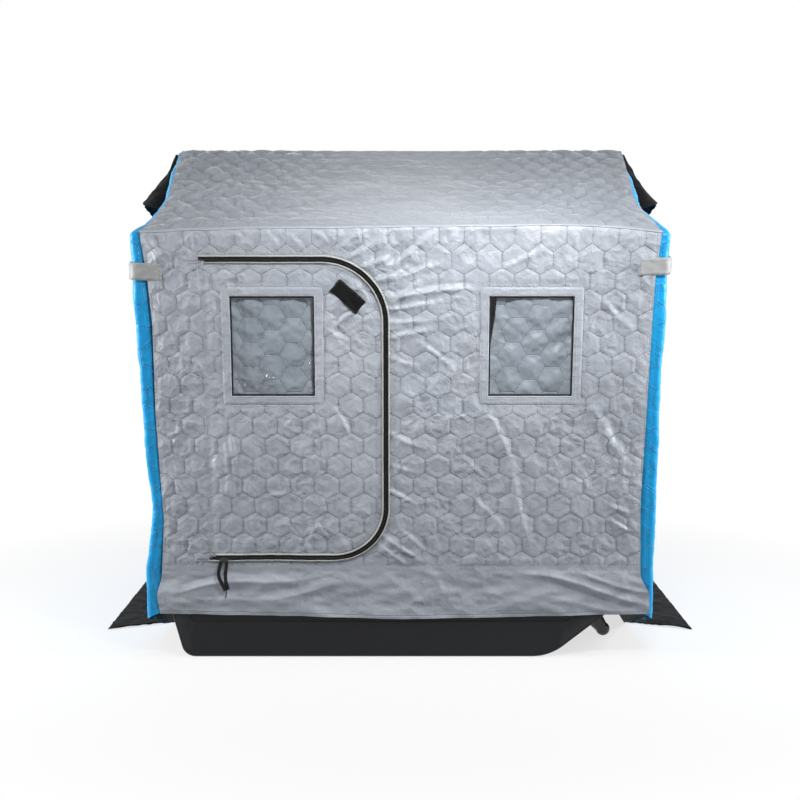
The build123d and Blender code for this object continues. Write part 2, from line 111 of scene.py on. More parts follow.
def pieceFrom(data, name, material, body, replaces):
    data.name = name
    piece = bpy.data.objects.new(name, data)
    bpy.context.scene.collection.objects.link(piece)
    data.materials.append(material)
    data.polygons.foreach_set("use_smooth", [True] * len(data.polygons))
    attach(piece, body)
    if replaces:
        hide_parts(*replaces)
    return piece


# measures a sheet's two largest sizes, and leaves the sheet as it is
def stretched(piece):
    long, wide = (float(n) for n in np.sort(np.ptp(vertexArray(piece.data), 0))[:0:-1])


def setAttribute(mesh, name, values):
    attribute = mesh.attributes.get(name) or mesh.attributes.new(name, "FLOAT_VECTOR", "POINT")
    attribute.data.foreach_set("vector", np.asarray(values, np.float32).ravel())


def vertexArray(mesh):
    co = np.empty(len(mesh.vertices) * 3, np.float32)
    mesh.vertices.foreach_get("co", co)
    return co.reshape(-1, 3).astype(float)


def setPlaces(data, places):
    data.vertices.foreach_set("co", places.astype(np.float32).ravel())


# a number from 0 to 1 that is always the same for one cell
def hash01(a, b, seed):
    value = np.sin(a * 127.1 + b * 311.7 + seed * 74.7) * 43758.5453
    return value - np.floor(value)


# soft waves of about one size in all directions
def ripple(u, v, size, seed):
    terms = 7
    rng = np.random.default_rng(seed)
    total = np.zeros(np.broadcast(u, v).shape)
    for n in range(terms):
        angle, phase = rng.uniform(0, math.tau, 2)
        wave = math.tau / (size * rng.uniform(0.6, 1.7))
        bend = 0.35 * size * np.sin(v * wave * 0.37 + phase * 2) * math.cos(angle)
        total += np.sin((u * math.cos(angle) + v * math.sin(angle) + bend) * wave + phase)
    return total / math.sqrt(terms)


def smooth(x, low, high):
    t = np.clip((x - low) / (high - low), 0, 1)
    return t * t * (3 - 2 * t)


# coated or plain woven cloth, with cell and stitch in metres and weave in millimetres. The seam attribute
# holds each point's distance to the nearest row of stitches and its place along that row, both in metres
def fabric(name, colour, shade, rough, crumple=0.5, cell=0.05, fine=0.35, weave=0.6, thread=None,
           groove=1.0, pucker=0.5, stitch=0.0036, shine=0.5):
    material, tree = newMaterial(name)
    where = addNode(tree, "TexCoord", out="Object")
    seam = addNode(tree, "Attribute", out="Vector", attribute_name="seam")
    gap, run = (addNode(tree, "SeparateXYZ", {0: seam}, out=n) for n in (0, 1))
    # soil and fading, in patches about 0.4 m across
    soil = addNode(tree, "TexNoise", {"Vector": where, "Scale": 2.6, "Detail": 6.0, "Roughness": 0.6})
    tint = addNode(tree, "Mix", {0: addNode(tree, "MapRange", {0: soil, 1: 0.35, 2: 0.65}),
                                 6: linearColour(colour), 7: linearColour(shade)}, out=2, data_type="RGBA")
    # a shaded groove reaches 3 mm from the row, and its stitches lie within 1 mm
    close = addNode(tree, "MapRange", {0: gap, 1: 0.0, 2: 0.0030, 3: 1.0, 4: 0.0},
                    interpolation_type="SMOOTHSTEP")
    wave = addNode(tree, "Math", {0: run, 1: math.tau / stitch}, operation="MULTIPLY")
    dashes = addNode(tree, "Math", {0: addNode(tree, "Math", {0: wave}, operation="SINE"), 1: -0.3},
                     operation="GREATER_THAN")
    onRow = addNode(tree, "Math", {0: gap, 1: 0.0010}, operation="LESS_THAN")
    sewn = addNode(tree, "Math", {0: dashes, 1: onRow}, operation="MULTIPLY")
    shadow = addNode(tree, "Math", {0: close, 1: 0.17 * groove}, operation="MULTIPLY")
    tint = addNode(tree, "Mix", {0: shadow, 6: tint, 7: linearColour("#3A3E44")}, out=2, data_type="RGBA")
    tint = addNode(tree, "Mix", {0: sewn, 6: tint, 7: linearColour(thread or shade)}, out=2, data_type="RGBA")
    # real threads lie 0.3 mm apart, too fine to show, so they're drawn as coarse as weave says
    scale = math.tau / 20 / (0.001 * weave)
    threads = [addNode(tree, "TexWave", {"Vector": where, "Scale": scale, "Distortion": 0.4}, out=1,
                       bands_direction=way) for way in "XZ"]
    crossed = addNode(tree, "Math", {0: threads[0], 1: threads[1]}, operation="MULTIPLY")
    bump = addNode(tree, "Bump", {"Height": crossed, "Strength": 0.3, "Distance": 0.00005})
    # creases where the cloth has been folded: flat facets, cell metres across, with sharp ridges between them
    drift = addNode(tree, "TexNoise", {"Vector": where, "Scale": 9.0, "Detail": 2.0}, out=1)
    drift = addNode(tree, "VectorMath", {0: drift, 1: (0.055, 0.055, 0.055)}, operation="MULTIPLY")
    moved = addNode(tree, "VectorMath", {0: where, 1: drift}, operation="ADD")
    patchy = addNode(tree, "TexNoise", {"Vector": where, "Scale": 2.9, "Detail": 1.0})
    much = addNode(tree, "MapRange", {0: patchy, 1: 0.38, 2: 0.62, 3: 0.25 * crumple, 4: crumple})
    for size, share in ((cell, 1.0), (cell * 0.45, 0.38)):
        facets = addNode(tree, "TexVoronoi", {"Vector": moved, "Scale": 1 / size, "Exponent": 1.4},
                         distance="MINKOWSKI")
        bump = addNode(tree, "Bump", {"Height": facets, "Strength": much, "Distance": 0.30 * size * share,
                                      "Normal": bump})
    # fine wrinkles about 30 mm across, which change the shine a little too
    wrinkles = addNode(tree, "TexNoise", {"Vector": moved, "Scale": 30.0, "Detail": 5.0, "Roughness": 0.55,
                                          "Distortion": 0.8})
    crease = addNode(tree, "Math", {0: addNode(tree, "Math", {0: wrinkles, 1: 0.5}, operation="SUBTRACT")},
                     operation="ABSOLUTE")
    bump = addNode(tree, "Bump", {"Height": crease, "Strength": fine, "Distance": 0.012, "Normal": bump})
    # puckers about 8 mm apart that cross the stitch rows and fade out 14 mm from them
    along = addNode(tree, "Math", {0: run, 1: 130.0}, operation="MULTIPLY")
    tucks = addNode(tree, "TexNoise", {"W": along, "Scale": 1.0, "Detail": 1.0}, noise_dimensions="1D")
    fade = addNode(tree, "MapRange", {0: gap, 1: 0.001, 2: 0.014, 3: 1.0, 4: 0.0},
                   interpolation_type="SMOOTHSTEP")
    bump = addNode(tree, "Bump", {"Height": addNode(tree, "Math", {0: tucks, 1: fade}, operation="MULTIPLY"),
                                  "Strength": pucker, "Distance": 0.005, "Normal": bump})
    bump = addNode(tree, "Bump", {"Height": close, "Strength": groove, "Distance": 0.0018, "Normal": bump},
                   invert=True)
    bump = addNode(tree, "Bump", {"Height": sewn, "Strength": 0.7, "Distance": 0.0005, "Normal": bump})
    finish(tree, {"Base Color": tint, "Normal": bump, "Specular IOR Level": shine,
                  "Roughness": addNode(tree, "MapRange", {0: wrinkles, 3: rough - 0.08, 4: rough + 0.08})})
    return material


# woven polyester with a silvery coating: satin, with broad soft highlights along its creases
# the pale thread is partly the thread's own colour and partly a painted highlight along each stitch groove
greyCloth = fabric("coated polyester, silver grey", "#BCC1CA", "#B1B7C1", rough=0.38, fine=0.5,
                   crumple=0.6, thread="#D0D4DA")
# the same cloth on the roof, pulled flatter and a little duller, its colour painted darker as shade
shadedRoofCloth = fabric("coated polyester, silver grey roof", "#A9AFB8", "#9FA5AF", rough=0.48, crumple=0.38,
                   groove=0.9, thread="#B9BDC4")
# the same cloth with no padding behind it: wider and softer creases
plainGrey = fabric("coated polyester, silver grey, unquilted", "#BDC2CB", "#B2B8C2", rough=0.40,
                   crumple=0.40, pucker=0.25, cell=0.06, thread="#B9BDC4")
# dyed polyester with a clear coating: an even, strong blue with a little satin
blueCloth = fabric("coated polyester, bright blue", "#1BB8FB", "#15ADF4", rough=0.42, thread="#2C9BEA",
                   crumple=0.35)
# coarse matt polyester: almost no highlight, so its folds show as dark greys
blackCloth = fabric("coarse black polyester", "#0E0F10", "#141516", rough=0.62, weave=1.1, crumple=0.35,
                    cell=0.07, shine=0.05, thread="#3A3B3E")
# brushed lining: dull and dark, so the inside stays quiet
liningCloth = fabric("black lining fabric", "#17181A", "#1E1F22", rough=0.75, crumple=0.2)
print("fabrics ready")


# hexagonal quilting: pitch is across the flats, column and row are the centre of one cell
quilting = {"pitch": 0.097, "squash": 0.96, "divisions": 7, "puff": 0.0058, "shoulder": 0.017,
            "crease": 0.0024, "tilt": 0.024, "column": 0.0505, "row": 0.9545}


# the cell each point is in: its gap to the cell's edge, its run along that edge and its place in the cell
def hexCells(u, v, q):
    pitch = q["pitch"]
    x, y = u - q["column"], (v - q["row"]) / q["squash"]
    rowStep = 1.5 * pitch / math.sqrt(3)
    found = None
    for shift in (0, 1):
        j = 2 * np.round((y / rowStep - shift) / 2) + shift
        i = np.round(x / pitch - 0.5 * shift)
        dx, dy = x - (i + 0.5 * shift) * pitch, y - j * rowStep
        away = np.hypot(dx, dy)
        if found is None:
            found = [away, dx, dy, i, j]
        else:
            nearer = away < found[0]
            found = [np.where(nearer, new, old) for new, old in zip([away, dx, dy, i, j], found)]
    _, dx, dy, i, j = found
    best, run = np.full(dx.shape, -1.0), np.zeros(dx.shape)
    for turn in (0, 60, 120):
        c, s = math.cos(math.radians(turn)), math.sin(math.radians(turn))
        reach = np.abs(dx * c + dy * s)
        run = np.where(reach > best, dy * c - dx * s, run)
        best = np.maximum(best, reach)
    return pitch / 2 - best, run, dx, dy, i, j


# padding between stitch lines: every cell has its own height, tilt and three small creases
def puffs(u, v, q, seed=1):
    gap, run, dx, dy, i, j = hexCells(u, v, q)
    half = q["pitch"] / 2
    lift = np.clip(gap / q["shoulder"], 0, 1)
    lift = lift * (2 - lift)
    height = q["puff"] * lift * (0.8 + 0.4 * hash01(i, j, seed)) * (0.75 + 0.25 * gap / half)
    height += lift * q["tilt"] * (dx * (hash01(i, j, seed + 30) - 0.5) + dy * (hash01(i, j, seed + 31) - 0.5))
    for n in range(3):
        angle = math.tau * hash01(i, j, seed + 3 * n + 1)
        off = (hash01(i, j, seed + 3 * n + 2) - 0.5) * half * 1.3
        size = (hash01(i, j, seed + 3 * n + 3) - 0.4) * q["crease"]
        crease = np.abs(dx * np.cos(angle) + dy * np.sin(angle) - off) / half
        height -= size * (1 - np.clip(1.5 * crease, 0, 1)) * lift
    return height, np.stack([gap, run, np.zeros_like(gap)], -1)


# flat triangular lattice whose edges follow the stitch lines, covering low to high
def hexSheet(low, high, q, divisions=None):
    pitch, side = q["pitch"], q["pitch"] / math.sqrt(3)
    divisions = divisions or q["divisions"]
    rowStep = 1.5 * side * q["squash"]
    sheet = bmesh.new()
    bmesh.ops.create_circle(sheet, cap_ends=True, cap_tris=True, segments=6, radius=side)
    if divisions > 1:
        bmesh.ops.subdivide_edges(sheet, edges=sheet.edges[:], cuts=divisions - 1, use_grid_fill=True)
    bmesh.ops.scale(sheet, verts=sheet.verts, vec=(1, q["squash"], 1))
    firstColumn = math.floor((low[0] - q["column"]) / pitch) - 1
    firstRow = 2 * math.floor((low[1] - q["row"]) / (2 * rowStep)) - 1
    columns = math.ceil((high[0] - low[0]) / pitch) + 3
    rows = math.ceil((high[1] - low[1]) / rowStep) + 4
    bmesh.ops.translate(sheet, verts=sheet.verts,
                        vec=(q["column"] + firstColumn * pitch, q["row"] + (firstRow + 1) * rowStep, 0))

    def repeat(count, step, shift=None):
        whole = sheet.verts[:] + sheet.edges[:] + sheet.faces[:]
        for n in range(1, count):
            copy = bmesh.ops.duplicate(sheet, geom=whole)["geom"]
            move = Vector(step) * n
            if shift and n % 2:
                move += Vector(shift)
            bmesh.ops.translate(sheet, verts=[e for e in copy if isinstance(e, bmesh.types.BMVert)], vec=move)

    repeat(columns, (pitch, 0, 0))
    repeat(rows, (0, rowStep, 0), (-pitch / 2, 0, 0))
    bmesh.ops.remove_doubles(sheet, verts=sheet.verts, dist=side / divisions / 8)
    cutLines(sheet, rectangle(*low, *high), clear=True)
    return sheet


# cuts along each side of a convex outline; clear drops what is outside, margin keeps the cut near the side
def cutLines(sheet, outline, clear=False, margin=None):
    outline = np.array(outline, float)
    centre = outline.mean(0)
    for a, b in zip(outline, np.roll(outline, -1, 0)):
        edge = b - a
        normal = np.array([edge[1], -edge[0]]) / np.hypot(*edge)
        if (centre - a) @ normal > 0:
            normal = -normal
        geometry = sheet.verts[:] + sheet.edges[:] + sheet.faces[:]
        if margin is not None:
            low, high = np.minimum(a, b) - margin, np.maximum(a, b) + margin
            faces = []
            for f in sheet.faces:
                x, y, _ = f.calc_center_median()
                if low[0] < x < high[0] and low[1] < y < high[1]:
                    faces.append(f)
            corners = {v for f in faces for v in f.verts}
            sides = {e for f in faces for e in f.edges}
            geometry = [*corners, *sides, *faces]
        bmesh.ops.bisect_plane(sheet, geom=geometry, dist=0.0002, plane_co=(a[0], a[1], 0),
                               plane_no=(normal[0], normal[1], 0), clear_outer=clear)


def insideOf(x, y, outline):
    outline = np.array(outline, float)
    turn = np.sign(np.cross(outline[1] - outline[0], outline[2] - outline[1]))
    inside = np.ones(np.shape(x), bool)
    for a, b in zip(outline, np.roll(outline, -1, 0)):
        inside &= turn * ((b[0] - a[0]) * (y - a[1]) - (b[1] - a[1]) * (x - a[0])) > 0
    return inside


# cuts a convex outline into the sheet, and drops what is inside it
def cutHole(sheet, outline, inner=None):
    cutLines(sheet, outline, margin=0.02)
    if inner is not None:
        cutLines(sheet, inner, margin=0.02)
    middles = np.array([f.calc_center_median()[:2] for f in sheet.faces])
    doomed = insideOf(*middles.T, outline)
    if inner is not None:
        kept = insideOf(*middles.T, inner)
        doomed &= ~kept
        for f, keep in zip(sheet.faces, kept):
            f.material_index = int(keep)
    bmesh.ops.delete(sheet, geom=[f for f, out in zip(sheet.faces, doomed) if out], context="FACES")


def rectangle(x0, y0, x1, y1):
    return [(x0, y0), (x1, y0), (x1, y1), (x0, y1)]


def gridSheet(low, high, cell):
    sheet = bmesh.new()
    width, height = high[0] - low[0], high[1] - low[1]
    columns, rows = max(1, round(width / cell)), max(1, round(height / cell))
    bmesh.ops.create_grid(sheet, x_segments=columns, y_segments=rows, size=0.5)
    bmesh.ops.scale(sheet, verts=sheet.verts, vec=(width, height, 1))
    bmesh.ops.translate(sheet, verts=sheet.verts, vec=((low[0] + high[0]) / 2, (low[1] + high[1]) / 2, 0))
    return sheet


def toMesh(sheet, name):
    data = bpy.data.meshes.new(name)
    sheet.to_mesh(data)
    sheet.free()
    return data


def bmeshFlip(data):
    sheet = bmesh.new()
    sheet.from_mesh(data)
    bmesh.ops.reverse_faces(sheet, faces=sheet.faces)
    sheet.to_mesh(data)
    sheet.free()


# the padding swells between its stitch lines, which the simulation holds flat
padding = {"start": 0.7, "stitchHalf": 0.0012, "pressure": 2.0, "spare": 0.02, "bending": 0.05, "frames": 14,
           "most": 0.012}


def swell(data, start, pinned):
    setPlaces(data, start)
    trial = bpy.data.objects.new("trial", data)
    bpy.context.scene.collection.objects.link(trial)
    trial.vertex_groups.new(name="stitched").add(np.nonzero(pinned)[0].tolist(), 1.0, "REPLACE")
    cloth = trial.modifiers.new("cloth", "CLOTH")
    cloth.settings.quality = 5
    cloth.settings.bending_stiffness = padding["bending"]
    cloth.settings.use_pressure = True
    cloth.settings.uniform_pressure_force = padding["pressure"]
    cloth.settings.shrink_min = -padding["spare"]
    cloth.settings.vertex_group_mass = "stitched"
    cloth.settings.effector_weights.gravity = 0
    cloth.collision_settings.use_collision = False
    cloth.point_cache.frame_end = padding["frames"]
    for step in range(1, padding["frames"] + 1):
        bpy.context.scene.frame_set(step)
    settled = vertexArray(trial.evaluated_get(bpy.context.evaluated_depsgraph_get()).to_mesh())
    bpy.data.objects.remove(trial)
    bpy.context.scene.frame_set(1)
    move = settled - start
    reach = np.linalg.norm(move, axis=1, keepdims=True)
    return start + move * np.minimum(1, padding["most"] / np.maximum(reach, 1e-9))


# a quilted sheet: flat lattice, swollen, then put in place by where(u, v, height)
def quiltMesh(sheet, q, name, where, seed=1, tight=None, rows=None):
    data = toMesh(sheet, name)
    flat = vertexArray(data)
    height, seam = puffs(flat[:, 0], flat[:, 1], q, seed)
    stitched = seam[:, 0] < padding["stitchHalf"]
    if rows is not None:
        gap, run = rows(flat[:, 0], flat[:, 1])
        nearer = gap < seam[:, 0]
        seam[nearer, 0], seam[nearer, 1] = gap[nearer], run[nearer]
    slack = np.ones(len(flat)) if tight is None else tight(flat[:, 0], flat[:, 1])
    border = np.zeros(len(flat), bool)
    border[bordersOf(data)] = True
    start = flat + np.stack([0 * height, 0 * height, padding["start"] * height], -1)
    bulge = swell(data, start, stitched | border)
    bulge = flat + (bulge - flat) * slack[:, None]
    setPlaces(data, where(*bulge.T))
    setAttribute(data, "seam", seam)
    return data


def bordersOf(data):
    count = {}
    for polygon in data.polygons:
        for key in polygon.edge_keys:
            count[key] = count.get(key, 0) + 1
    return sorted({n for key, times in count.items() if times == 1 for n in key})


# keeps the faces of one material slot
def partOf(data, index, name):
    sheet = bmesh.new()
    sheet.from_mesh(data)
    bmesh.ops.delete(sheet, geom=[f for f in sheet.faces if f.material_index != index], context="FACES")
    for f in sheet.faces:
        f.material_index = 0
    return toMesh(sheet, name)


# the tent's skin, rounded over its eaves and ridge, drawn in between its poles
skin = {"reach": 1.0185, "round": 0.0195, "eaveRail": 0.05, "ridgeRail": 0.06, "sag": 0.016,
        "overRails": 0.004}


# a smoothed line through (place, value) points
def curve(points, ease=0.03):
    places, values = zip(*points)
    return lambda t: sum(np.interp(t + d, places, values) for d in np.linspace(-ease, ease, 7)) / 7


# an outline moved inwards, with its corners kept sharp
def insetOf(outline, inset):
    outline = np.array(outline, float)
    lines = []
    for a, b in zip(outline[:-1], outline[1:]):
        along = (b - a) / np.hypot(*(b - a))
        lines.append((a + inset * np.array([along[1], -along[0]]), along))
    corners = [lines[0][0]]
    for (p, d), (q, e) in zip(lines[:-1], lines[1:]):
        t = np.cross(q - p, e) / np.cross(d, e)
        corners.append(p + t * d)
    corners.append(lines[-1][0] + lines[-1][1] * np.hypot(*(outline[-1] - outline[-2])))
    return np.array(corners)


nearFoot = np.array([wallFoot[1], 0]) - 0.4 * np.array([wallUp[1], wallUp[2]])
farFoot = np.array([farFootY, 0]) - 0.4 * np.array([farUp[1], farUp[2]])
profile = [tuple(nearFoot), (-eaveY, eaveZ), (0, ridgeZ), (eaveY, eaveZ), tuple(farFoot)]
inset = insetOf(profile, skin["round"])


# nearest point of the inset profile, and the way out from it
def profileFoot(y, z):
    best = np.full(np.shape(y), 1e9)
    footY, footZ = np.array(y, float), np.array(z, float)
    for a, b in zip(inset[:-1], inset[1:]):
        d = b - a
        t = np.clip(((y - a[0]) * d[0] + (z - a[1]) * d[1]) / (d @ d), 0, 1)
        py, pz = a[0] + t * d[0], a[1] + t * d[1]
        side = (y - a[0]) * d[1] - (z - a[1]) * d[0]
        away = np.hypot(y - py, z - pz)
        nearer = away < best
        best = np.where(nearer, away, best)
        footY, footZ = np.where(nearer, py, footY), np.where(nearer, pz, footZ)
    inner = np.ones(np.shape(y), bool)
    for a, b in zip(inset[:-1], inset[1:]):
        d = b - a
        inner &= ((y - a[0]) * d[1] - (z - a[1]) * d[0]) >= 0
    footY, footZ = np.where(inner, y, footY), np.where(inner, z, footZ)
    away = np.where(inner, 0, best)
    return footY, footZ, away


# the cloth rides up over the eaves between the corners
eaveRise = curve([(-1.1, 0), (-0.98, 0.001), (-0.8, 0.011), (-0.5, 0.016), (0, 0.019), (0.62, 0.025),
                  (0.85, 0.018), (0.98, 0.002), (1.1, 0)], 0.04)


# a point at or near the sharp profile, rounded over its edges and lifted off it
def onProfile(x, y, z, lift):
    footY, footZ, away = profileFoot(y, z)
    over = np.exp(-((z - eaveZ) / skin["eaveRail"]) ** 2) + np.exp(-(y / skin["ridgeRail"]) ** 2)
    reach = (skin["round"] + lift + skin["overRails"] * over) / np.maximum(away, 1e-9)
    below, above = smooth(z, 1.60, eaveZ - 0.02), 1 - smooth(z, eaveZ, eaveZ + 0.25)
    rise = eaveRise(x) * np.where(z < eaveZ, below, above)
    return np.stack([x + 0 * y, footY + (y - footY) * reach, footZ + (z - footZ) * reach + rise], -1)


# where the side skin's corner, the grey cloth's seam and the roof's edge run, from each foot or eave upwards
outerEdge = {
    -1: curve([(0, 1.013), (0.189, 1.013), (0.309, 1.014), (0.43, 0.993), (0.546, 0.973), (0.632, 0.969),
               (0.713, 0.979), (0.979, 0.993), (1.138, 0.999), (1.36, 1.008),
               (1.6, skin["reach"]), (1.8, skin["reach"])]),
    1: curve([(0, 1.017), (0.393, 1.016), (0.648, 1.003), (0.979, 1.009), (1.357, 1.013),
              (1.592, skin["reach"]), (1.8, skin["reach"])]),
}
seamEdge = {
    -1: curve([(0, 0.965), (0.18, 0.965), (0.267, 0.974), (0.343, 0.952), (0.579, 0.936), (0.73, 0.943),
               (0.979, 0.954), (1.357, 0.955), (1.538, 0.969), (1.694, 0.99), (1.8, 0.99)], 0.02),
    1: curve([(0, 1.003), (0.188, 1.003), (0.276, 0.998), (0.334, 0.962), (0.648, 0.951), (0.979, 0.962),
              (1.236, 0.968), (1.515, 0.977), (1.702, 0.996), (1.8, 0.996)], 0.02),
}
roofEdge = {
    -1: curve([(0, 0.990), (0.07, 0.973), (0.18, 0.960), (0.34, 0.952), (0.47, 0.952), (0.63, 0.968),
               (0.80, 0.981), (0.97, 0.991), (1.144, 1.000)], 0.02),
    1: curve([(0, 0.991), (0.10, 0.984), (0.18, 0.972), (0.33, 0.959), (0.46, 0.959), (0.59, 0.975),
              (0.81, 0.991), (1.0, 1.008), (1.144, 1.014)], 0.02),
}
farSeam = curve([(0, 0.975), (0.3, 0.96), (0.8, 0.945), (1.3, 0.955), (1.75, 0.99)])
farOuter = curve([(0, 1.015), (0.3, 1.008), (0.8, 0.99), (1.3, 1.0), (1.75, skin["reach"])])


# how far up its slope a place on the roof lies
def roofSpot(y):
    return np.clip((eaveY - np.abs(y)) / math.cos(roofSlope), 0, roofRun)


# the poles' middle lines, seen from the side
poleRadius = 0.012
poleLines = []
for name in ("near_poles", "ridge_poles", "far_poles", "base_poles"):
    low, high = nodeBox(name)
    slope = 1 if name in ("ridge_poles", "far_poles") else -1
    low, high = low + poleRadius, high - poleRadius
    ends = [(low[1], low[2]), (high[1], high[2])] if slope > 0 else [(low[1], high[2]), (high[1], low[2])]
    poleLines.append(ends)


# distance from the nearest pole, seen from the side
def poleGap(y, z):
    best = np.full(np.shape(y), 9.0)
    for (y0, z0), (y1, z1) in poleLines:
        dy, dz = y1 - y0, z1 - z0
        t = np.clip(((y - y0) * dy + (z - z0) * dz) / (dy * dy + dz * dz), 0, 1)
        best = np.minimum(best, np.hypot(y - y0 - t * dy, z - z0 - t * dz))
    return best


# how far from a wall's edge, the roof's edge or a pole its pull on the side skin is felt
pullReach = {"wall": 0.22, "roof": 0.16, "pole": 0.16}


# the side skin's distance from the middle: out over the poles, drawn in between them and along its edges
def sideReach(y, z, side):
    v = z / wallUp[2]
    nearGap = np.maximum(0, y - (wallFoot[1] + z * wallUp[1] / wallUp[2]))
    farGap = np.maximum(0, farFootY + z * farUp[1] / farUp[2] - y)
    topGap = np.maximum(0, (eaveZ + (eaveY - np.abs(y)) * math.tan(roofSlope) - z) * math.cos(roofSlope))
    roofPull = np.maximum(0, skin["reach"] - (roofEdge[side](roofSpot(y)) + 0.018))
    pulls = np.stack([
        (skin["reach"] - outerEdge[side](v)) * np.exp(-(nearGap / pullReach["wall"]) ** 2),
        (skin["reach"] - farOuter(z / farUp[2])) * np.exp(-(farGap / pullReach["wall"]) ** 2),
        roofPull * np.exp(-(topGap / pullReach["roof"]) ** 2),
        skin["sag"] * (1 - np.exp(-(poleGap(y, z) / pullReach["pole"]) ** 2)),
    ])
    reach = skin["reach"] + 0.015 * np.exp(-(nearGap / 0.20) ** 2)
    return reach - pulls.max(0) * smooth(poleGap(y, z), 0.0, 0.11)


# flat side pattern to its place: past the profile it turns over onto the wall or the roof
def onSide(p, z, lift, side):
    footY, footZ, away = profileFoot(p, z)
    radius = skin["round"]
    over = np.maximum(away - radius, 0)
    dirY, dirZ = (p - footY) / np.maximum(away, 1e-9), (z - footZ) / np.maximum(away, 1e-9)
    edgeX = sideReach(footY + dirY * np.minimum(away, radius), footZ + dirZ * np.minimum(away, radius), side)
    outX, outP = np.maximum(radius - over, 0), np.clip(away, 0, radius)
    size = np.maximum(np.hypot(outX, outP), 1e-9)
    reach = radius + lift
    x = np.where(over < radius, edgeX - radius + reach * outX / size, edgeX - over)
    return np.stack([side * x, footY + dirY * reach * outP / size, footZ + dirZ * reach * outP / size], -1)


# door outline, a D with its straight side on the hinge
flapLow, flapHigh = nodeBox("door_flap")
doorEdge = {
    "left": hingePoint[0],
    "right": flapHigh[0] + 0.0025,
    "bottom": flapLow[2] / wallUp[2] - 0.0025,
    "top": flapHigh[2] / wallUp[2] + 0.0025,
    "topRadius": 0.245,
    "bottomRadius": 0.205,
}


def doorLine(offset=0.0, steps=14):
    d = doorEdge
    left = d["left"]
    right, bottom, top = d["right"] + offset, d["bottom"] - offset, d["top"] + offset
    low, high = d["bottomRadius"] + offset, d["topRadius"] + offset
    points = [(left, bottom)]
    for n in range(steps + 1):
        a = math.radians(-90 + 90 * n / steps)
        points.append((right - low + low * math.cos(a), bottom + low + low * math.sin(a)))
    for n in range(steps + 1):
        a = math.radians(90 * n / steps)
        points.append((right - high + high * math.cos(a), top - high + high * math.sin(a)))
    points.append((left, top))
    return points


# how far each point is from a line, and how far along it
def alongLine(u, v, line):
    line = np.array(line)
    near, run, done = np.full(np.shape(u), 9.0), np.zeros(np.shape(u)), 0.0
    for a, b in zip(line[:-1], line[1:]):
        d = b - a
        t = np.clip(((u - a[0]) * d[0] + (v - a[1]) * d[1]) / (d @ d), 0, 1)
        away = np.hypot(u - a[0] - t * d[0], v - a[1] - t * d[1])
        run = np.where(away < near, done + t * math.hypot(*d), run)
        near = np.minimum(near, away)
        done += math.hypot(*d)
    return near, run


# distance outside a box, 0 within it
def outsideOf(u, v, box):
    (x0, y0), _, (x1, y1), _ = box
    return np.hypot(np.maximum(0, np.maximum(x0 - u, u - x1)), np.maximum(0, np.maximum(y0 - v, v - y1)))


frameBand = 0.030
openings = {}
for name in ("wall", "door"):
    low, high = nodeBox(name + "_window_frame")
    openings[name] = rectangle(low[0] + frameBand, low[2] / wallUp[2] + frameBand,
                               high[0] - frameBand, high[2] / wallUp[2] - frameBand)
farOpenings = []
low, high = nodeBox("far_window_frames")
for sign in (-1, 1):
    edges = sorted((sign * (high[0] - frameBand), sign * (high[0] - frameBand - 0.330)))
    farOpenings.append(rectangle(edges[0], low[2] / farUp[2] + frameBand,
                                 edges[1], high[2] / farUp[2] - frameBand))


# near wall and door, cut from one quilted sheet
greyHalf = 0.98     # half the width of the grey cloth's pattern
zipRow, windowRow = 0.0195, 0.036   # from the zip or a window's edge to the row of stitches beside it

